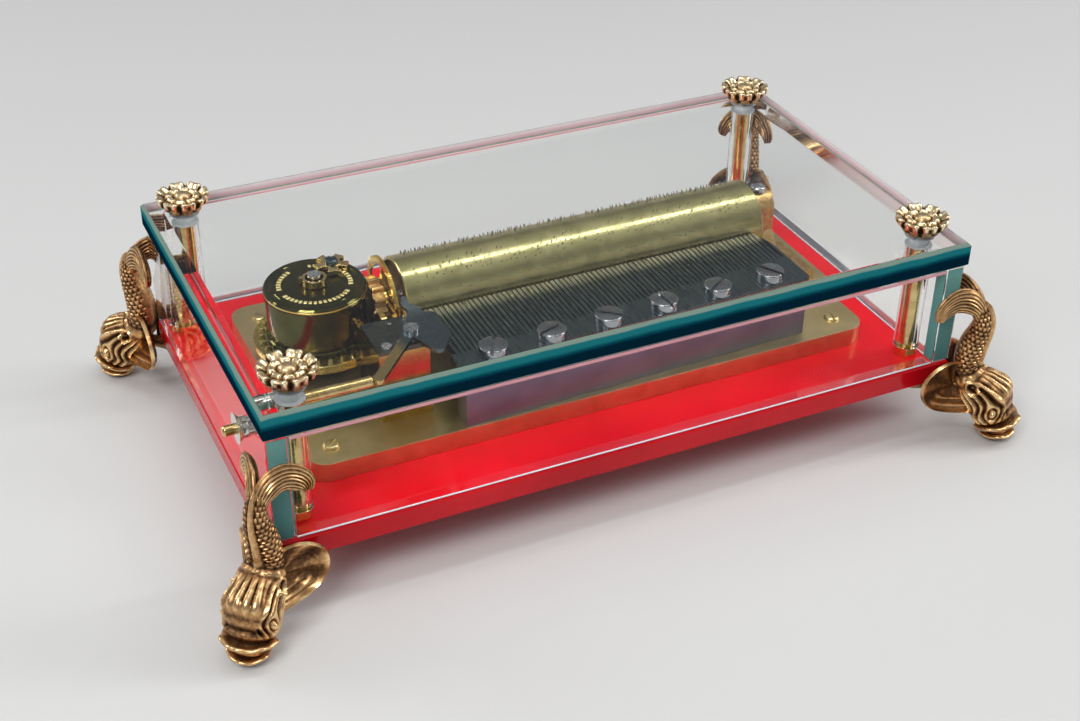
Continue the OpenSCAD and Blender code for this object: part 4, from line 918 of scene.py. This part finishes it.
# The tune: how many beats, where the first and the last lie, and how often a tooth sounds on one
BEATS, FIRST_BEAT, LAST_BEAT, SOUNDING = 64, 12, 348, 0.30


def make_tube():
    length = TUBE_X1 - TUBE_X0
    bore, eased_r = TUBE_R - TUBE_WALL, TUBE_R - TUBE_EASE
    tube = turned(
        "cylinder_shell",
        [(bore, 0.0), (eased_r, 0.0), (TUBE_R, TUBE_EASE),
         (TUBE_R, length - TUBE_EASE), (eased_r, length), (bore, length)],
        (TUBE_X0, CYL_Y, CYL_Z), "X", 128,
    )
    dressed(tube, "cylinder", "cylinder_brass", ("cylinder_tube",), 30.0)


def pin_spots():
    """Where the pins stand: along the cylinder in millimetres and round it in degrees."""
    random.seed(TEETH)
    beats = sorted(random.uniform(FIRST_BEAT, LAST_BEAT) for _ in range(BEATS))
    spots = []
    for tooth in range(TEETH):
        x = TOOTH_X + tooth * TOOTH_PITCH
        for beat in beats:
            if random.random() < SOUNDING:
                aside = random.uniform(-0.25, 0.25)
                spots.append((x + aside, beat + random.choice((0, 0, 1.4, -1.4, 2.8))))
    return spots


def make_pins():
    bpy.ops.object.select_all(action="DESELECT")
    bpy.ops.mesh.primitive_cone_add(
        vertices=6, radius1=PIN_ROOT_R * MM, radius2=PIN_TIP_R * MM, depth=PIN_L * MM,
        location=(0, 0, (TUBE_R + PIN_MIDDLE) * MM),
    )
    pin = bpy.context.object
    bpy.ops.object.transform_apply(location=True)
    mesh = bpy.data.meshes.new("cylinder_pin_field")
    corners, faces = [], []
    points = [c.co.copy() for c in pin.data.vertices]
    shapes = [tuple(f.vertices) for f in pin.data.polygons]
    bpy.data.objects.remove(pin)
    for x, degrees in pin_spots():
        turn = Matrix.Rotation(math.radians(degrees), 4, "X")
        first = len(corners)
        for point in points:
            corners.append(turn @ point + Vector((x, CYL_Y, CYL_Z)) * MM)
        faces.extend([tuple(first + k for k in shape) for shape in shapes])
    mesh.from_pydata(corners, [], faces)
    field = bpy.data.objects.new("cylinder_pin_field", mesh)
    bpy.context.scene.collection.objects.link(field)
    dressed(field, "cylinder", "steel", ("cylinder_pins",), 30.0, "pin_steel")


# Spring barrel

# Radius and height from the teeth's inner end round the great wheel to their outer end and back
CROWN = [
    (15.3, 35.6), (2.2, 35.6), (2.2, 33.2), (18.4, 33.2), (18.9, 33.4),
    (18.9, 34.2), (18.6, 34.4), (18.6, 34.6), (18.9, 34.8), (18.9, 35.6),
    (18.7, 35.85), (18.2, 35.85), (18.0, 35.6), (17.8, 35.6), (15.3, 35.6),
]
CROWN_TEETH, CROWN_TURN, CROWN_TOOTH_H = 30, -0.73, 1.5
# Dashes on the cover in three groups: their places on the ring, its start and its step in degrees
LID_MARKS, MARK_START, MARK_STEP = (*range(8), *range(10, 26), *range(28, 42)), 120, 7.8


def crown_skin(u, v):
    """The great wheel: a grooved smooth rim with thirty low teeth standing inside it."""
    last = len(CROWN) - 1
    place = min(int(u * last), last - 1)
    part = u * last - place
    (r0, z0), (r1, z1) = CROWN[place], CROWN[place + 1]
    radius, height = r0 + (r1 - r0) * part, z0 + (z1 - z0) * part
    angle = 2 * math.pi * v
    if place == last - 1:
        tooth = math.cos((angle - math.radians(CROWN_TURN)) * CROWN_TEETH)
        proud = step(tooth, 0.1, 0.75) * step(part, 0.02, 0.12) * (1 - step(part, 0.85, 0.98))
        height += CROWN_TOOTH_H * proud
    return (radius * math.cos(angle), radius * math.sin(angle), height), 0.6


def make_lid_marks():
    dash = edge_strip("lid_mark", (9.7, -0.46, LID_Z - 0.15), (11.1, 0.46, LID_Z + 0.16), 0.15, 2)
    marks = []
    for k in LID_MARKS:
        mark = copied(dash, "lid_mark")
        mark.matrix_world = (
            Matrix.Translation((BARREL_X * MM, BARREL_Y * MM, 0))
            @ Matrix.Rotation(math.radians(MARK_START + k * MARK_STEP), 4, "Z")
        )
        marks.append(mark)
    bpy.data.objects.remove(dash)
    dressed(joined(marks, "lid_bead_ring"), "barrel", "gilt", (), 60.0, "lid_gilt")


def make_barrel():
    """The drum and its cover, with a ring of marks and a gilt ring along the cover's edge as a painted
    highlight, on the great wheel.
    """
    drum = turned(
        "barrel_shell",
        [(14.0, 35.7), (15.0, 35.7), (15.0, 37.2), (14.6, 37.5), (14.6, 48.9), (15.0, 49.2), (15.0, 50.4),
         (14.8, 50.7), (14.0, 50.7)],
        (BARREL_X, BARREL_Y, 0),
    )
    dressed(drum, "barrel", "barrel_brass", ("barrel_drum",), 30.0)
    cover = turned(
        "barrel_lid",
        [(2.05, 50.75), (14.6, 50.75), (14.95, 51.0), (14.95, 51.6), (14.5, LID_Z), (13.2, LID_Z),
         (13.0, LID_Z - 0.15), (12.4, LID_Z - 0.15), (12.2, LID_Z), (2.05, LID_Z)],
        (BARREL_X, BARREL_Y, 0),
    )
    dressed(cover, "barrel", "barrel_brass", ("barrel_cover",), 30.0)
    wheel = rolled("crown_ring", 4 * (len(CROWN) - 1), 360, crown_skin)
    wheel.location = (BARREL_X * MM, BARREL_Y * MM, 0)
    dressed(wheel, "barrel", "gilt", ("crown_wheel",), 40.0, "crown_brass")
    make_lid_marks()
    # Painted highlight: a bright gilt ring along the cover's lower edge.
    rim = turned(
        "lid_highlight_ring",
        [(14.4, 50.8), (14.94, 50.8), (15.0, 50.9), (15.0, 51.2), (14.94, 51.3), (14.4, 51.3)],
        (BARREL_X, BARREL_Y, 0), steps=128,
    )
    dressed(rim, "barrel", "gilt", (), 60.0)
    boss = turned(
        "stop_boss",
        [(2.04, 52.45), (3.4, 52.45), (3.6, 52.65), (3.6, 53.3), (3.3, 53.45), (3.3, 53.6), (2.9, 53.7),
         (2.9, 54.25), (2.7, 54.4), (2.04, 54.4)],
        (BARREL_X, BARREL_Y, 0), steps=64,
    )
    dressed(boss, "winder", "brass", (), 30.0)


# Small fittings

# Comb screws: how each slot is turned, the comb's ends and slanting front, and how far in the screws stand
COMB_SLOTS = (62, 18, 140, 95, 35, 120)
COMB_X0, COMB_X1, COMB_FRONT_Y, COMB_SLANT, COMB_SCREW_IN = -45.35, 70.11, -39.6, 4.0, 4.4
BED_SCREW_X, BED_SCREW_Y, BEARING_SCREW_Z = 82.0, 32.2, 51.8


def middle(node):
    """The middle of a node's box, along and across, in millimetres."""
    low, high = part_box(node)
    return (low.x + high.x) / 2 / MM, (low.y + high.y) / 2 / MM


def make_screws():
    pitch = (TEETH - 1) * TOOTH_PITCH / len(COMB_SLOTS)
    heads = []
    for k, turn in enumerate(COMB_SLOTS):
        x = TOOTH_X + pitch * (k + 0.5)
        y = COMB_FRONT_Y + COMB_SLANT * (x - COMB_X0) / (COMB_X1 - COMB_X0) + COMB_SCREW_IN
        heads.append(screw("comb_head", (x, y, COMB_Z), 4.2, 2.6, 2.0, 9.0, 1.0, turn, 0.15))
    group = joined(heads, "comb_screw_set")
    dressed(group, "case", "polished_steel", ("comb_screws",), 35.0, "screw_steel")
    heads = []
    for k, (sx, sy) in enumerate(CORNERS.values()):
        place = (sx * BED_SCREW_X, sy * BED_SCREW_Y, BED_Z)
        heads.append(screw("bed_head", place, 2.4, 1.0, 1.2, 9.7, 0.5, 30 + 47 * k, 0.7))
    dressed(joined(heads, "bed_screw_set"), "case", "steel", ("bed_screws",), 35.0, "satin_brass")
    place = (*middle("bearing_screw"), BEARING_SCREW_Z)
    head = screw("bearing_slot_screw", place, 2.34, 1.8, 1.3, 3.8, 0.6, 20)
    dressed(head, "case", "polished_steel", ("bearing_screw",), 35.0)
    head_h = 1.2
    place = (*middle("star_screw"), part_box("star_screw")[1].z / MM - head_h)
    head = screw("star_blue_screw", place, 2.0, head_h, 1.0, 3.2, 0.5, 70)
    dressed(head, "barrel", "blued_steel", ("star_screw",), 35.0)


def edge_strip(name, low, high, ease=0.06, segments=1):
    """A straight strip from its low to its high corner, its edges broken."""
    bpy.ops.object.select_all(action="DESELECT")
    bpy.ops.mesh.primitive_cube_add(size=1.0)
    strip = bpy.context.object
    strip.name = strip.data.name = name
    strip.location = (Vector(low) + Vector(high)) / 2 * MM
    strip.scale = (Vector(high) - Vector(low)) * MM
    bpy.ops.object.transform_apply(location=True, rotation=True, scale=True)
    bpy.ops.object.mode_set(mode="EDIT")
    bpy.ops.mesh.select_all(action="SELECT")
    bpy.ops.mesh.bevel(offset=ease * MM, segments=segments)
    bpy.ops.object.mode_set(mode="OBJECT")
    return strip


# How far in an edge still moves with the plate's inset, and that inset
EDGE_REACH, PLATE_INSET = 2.0, 0.15
# Inset from the plate's edge and height: the flat and both bevels, then back along their inner side
EDGE_BAND = [
    (PLATE_BEVEL, PLATE_Z), (0.0, FLAT_LOW), (0.0, FLAT_HIGH), (PLATE_BEVEL, TOP_Z),
    (1.0, TOP_Z - 0.07), (0.08, FLAT_HIGH - 0.04), (0.08, FLAT_LOW + 0.04), (1.0, PLATE_Z + 0.07),
]


def edge_band(u, v):
    """A thin band of colour round the plate's polished edge, with painted highlights along its arrises."""
    inset, height = EDGE_BAND[round(u * len(EDGE_BAND)) % len(EDGE_BAND)]
    sx, sy = ((1, 1), (-1, 1), (-1, -1), (1, -1))[round(v * 4) % 4]
    return (sx * (CASE_L / 2 - inset), sy * (CASE_W / 2 - inset), height), 0.5


def make_top_plate():
    """The plate inside its coloured edge, whose pale lines are painted highlights, and the ground holes that
    the corner rods go through.
    """
    plate = loose_copy("glass_top", "glass_top_plate")
    for corner in plate.data.vertices:
        if abs(corner.co.x) > (CASE_L / 2 - EDGE_REACH) * MM:
            corner.co.x -= math.copysign(PLATE_INSET * MM, corner.co.x)
        if abs(corner.co.y) > (CASE_W / 2 - EDGE_REACH) * MM:
            corner.co.y -= math.copysign(PLATE_INSET * MM, corner.co.y)
    dressed(plate, "case", "glass", ("glass_top",), 30.0)
    dressed(rolled("glass_edge_band", len(EDGE_BAND), 4, edge_band), "case", "glass", (), 30.0, "glass_edge_tint_and_highlights")
    rings = []
    low, high = PLATE_Z + 0.1, TOP_Z - 0.2
    outline = [(2.5, low), (4.1, low), (4.1, low + 0.2), (2.8, low + 0.25), (2.8, high), (2.5, high)]
    for sx, sy in CORNERS.values():
        rings.append(turned("ground_hole", outline, (sx * POST_X, sy * POST_Y, 0), steps=32))
    dressed(joined(rings, "ground_hole_set"), "case", "glass", (), 30.0, "ground_glass")


# Strips of colour: their thickness, how far the rose lies in the plate and stops short of its corners
STRIP_T, ROSE_IN, ROSE_SHORT = 0.2, 0.6, 1.2
# How far the strips lie in from a wall's faces and ends, and how wide the bright line at its foot is
TINT_IN, WALL_IN, END_IN, LINE_IN, FOOT_LINE_W = 0.15, 0.25, 0.55, 0.75, 0.3


def make_glass_edges():
    """The colours that the thick glass shows inside its edges, with the rose as a painted reflection of the
    red base, and the bright line at the walls' foot.
    """
    x, y, half = CASE_L / 2, CASE_W / 2, WALL_T / 2
    rose_x, rose_y = x - ROSE_IN, y - ROSE_IN
    rose = [
        edge_strip("rose", (ROSE_SHORT - x, rose_y, FLAT_LOW), (x - ROSE_SHORT, rose_y + STRIP_T, FLAT_HIGH)),
        edge_strip("rose", (rose_x, ROSE_SHORT - y, FLAT_LOW), (rose_x + STRIP_T, y - ROSE_SHORT, FLAT_HIGH)),
    ]
    ends, rims, feet = [], [], []
    front, inner_x = -WALL_Y - half, WALL_X - half
    for side in (-1, 1):
        x0, y0, reach = side * WALL_X, side * WALL_Y, half - TINT_IN
        ends.append(edge_strip(
            "tint", (x0 - reach, front, TINT_Z[0]), (x0 + reach, front + STRIP_T, TINT_Z[1])
        ))
        x1 = side * (inner_x - END_IN)
        ends.append(edge_strip(
            "tint", (x1 - STRIP_T / 2, front + WALL_IN, TINT_Z[0]),
            (x1 + STRIP_T / 2, front + WALL_T - WALL_IN, TINT_Z[1]),
        ))
        rim_x, rim_y = inner_x - END_IN - STRIP_T / 2, y0 + side * reach
        rims.append(edge_strip(
            "rim", (-rim_x, rim_y - STRIP_T / 2, RIM_Z[0]), (rim_x, rim_y + STRIP_T / 2, RIM_Z[1])
        ))
        if side > 0:
            feet.append(edge_strip(
                "line", (x0 - half, front + WALL_IN, FOOT_LINE_Z[0]),
                (x0 - half + FOOT_LINE_W, -front - WALL_IN, FOOT_LINE_Z[1]),
            ))
        line_x = inner_x - LINE_IN
        feet.append(edge_strip(
            "line", (-line_x, y0 - half, FOOT_LINE_Z[0]), (line_x, y0 - half + FOOT_LINE_W, FOOT_LINE_Z[1])
        ))
    for pieces, name, finish in (
        (rose, "glass_edge_rose_reflection", "rose_reflection"), (ends, "wall_end_tint", "wall_edge"),
        (rims, "wall_rim_line", "wall_rim"), (feet, "wall_foot_line", "wall_foot"),
    ):
        dressed(joined(pieces, name), "case", "glass", (), 30.0, finish)


def make_eased():
    """The pieces that keep the solid's shape, with their edges broken."""
    for node, width, slot in (
        ("bedplate", 0.5, "satin_brass"), ("comb_base", 0.35, "grey_iron"), ("left_bearing", 0.25, "brass"),
        ("right_bearing", 0.6, "bronze"), ("governor_frame", 0.35, "polished_brass"),
        ("governor_plate", 0.25, "grey_steel"), ("bush_nut", 0.35, "nickel"),
        ("start_bush", 0.2, "nickel"), ("post_nuts", 0.4, "gilt"),
    ):
        eased(node, width, slot, "case")
    for wall in ("front", "back", "left", "right"):
        eased("glass_" + wall, 0.5, "glass", "case", "wall_glass", WALL_GAP)
    eased("star_wheel", 0.2, "brass", "star")
    eased("drive_pinion", 0.15, "bronze", "cylinder")
    eased("winding_key", 0.5, "brass", "winder")
    eased("stop_lever", 0.45, "blued_steel", "lever", "lever_steel", segments=3)
    eased("start_rod", 0.15, "brass", "start")


def finish_nodes():
    slots = {row["node"]: row["material_slot"] for row in frame["record"]["subparts"]}
    for name, solid in NODE.items():
        solid.data.materials.clear()
        solid.data.materials.append(FINISH["frosted_washer" if name == "rosette_washers" else slots[name]])


set_camera()
set_floor()
set_light()
make_finishes()
finish_nodes()
make_top_plate()
make_glass_edges()
make_eased()
make_dolphins()
make_rosettes()
make_tube()
make_pins()
make_barrel()
make_screws()
bpy.context.scene.view_settings.view_transform = "Standard"
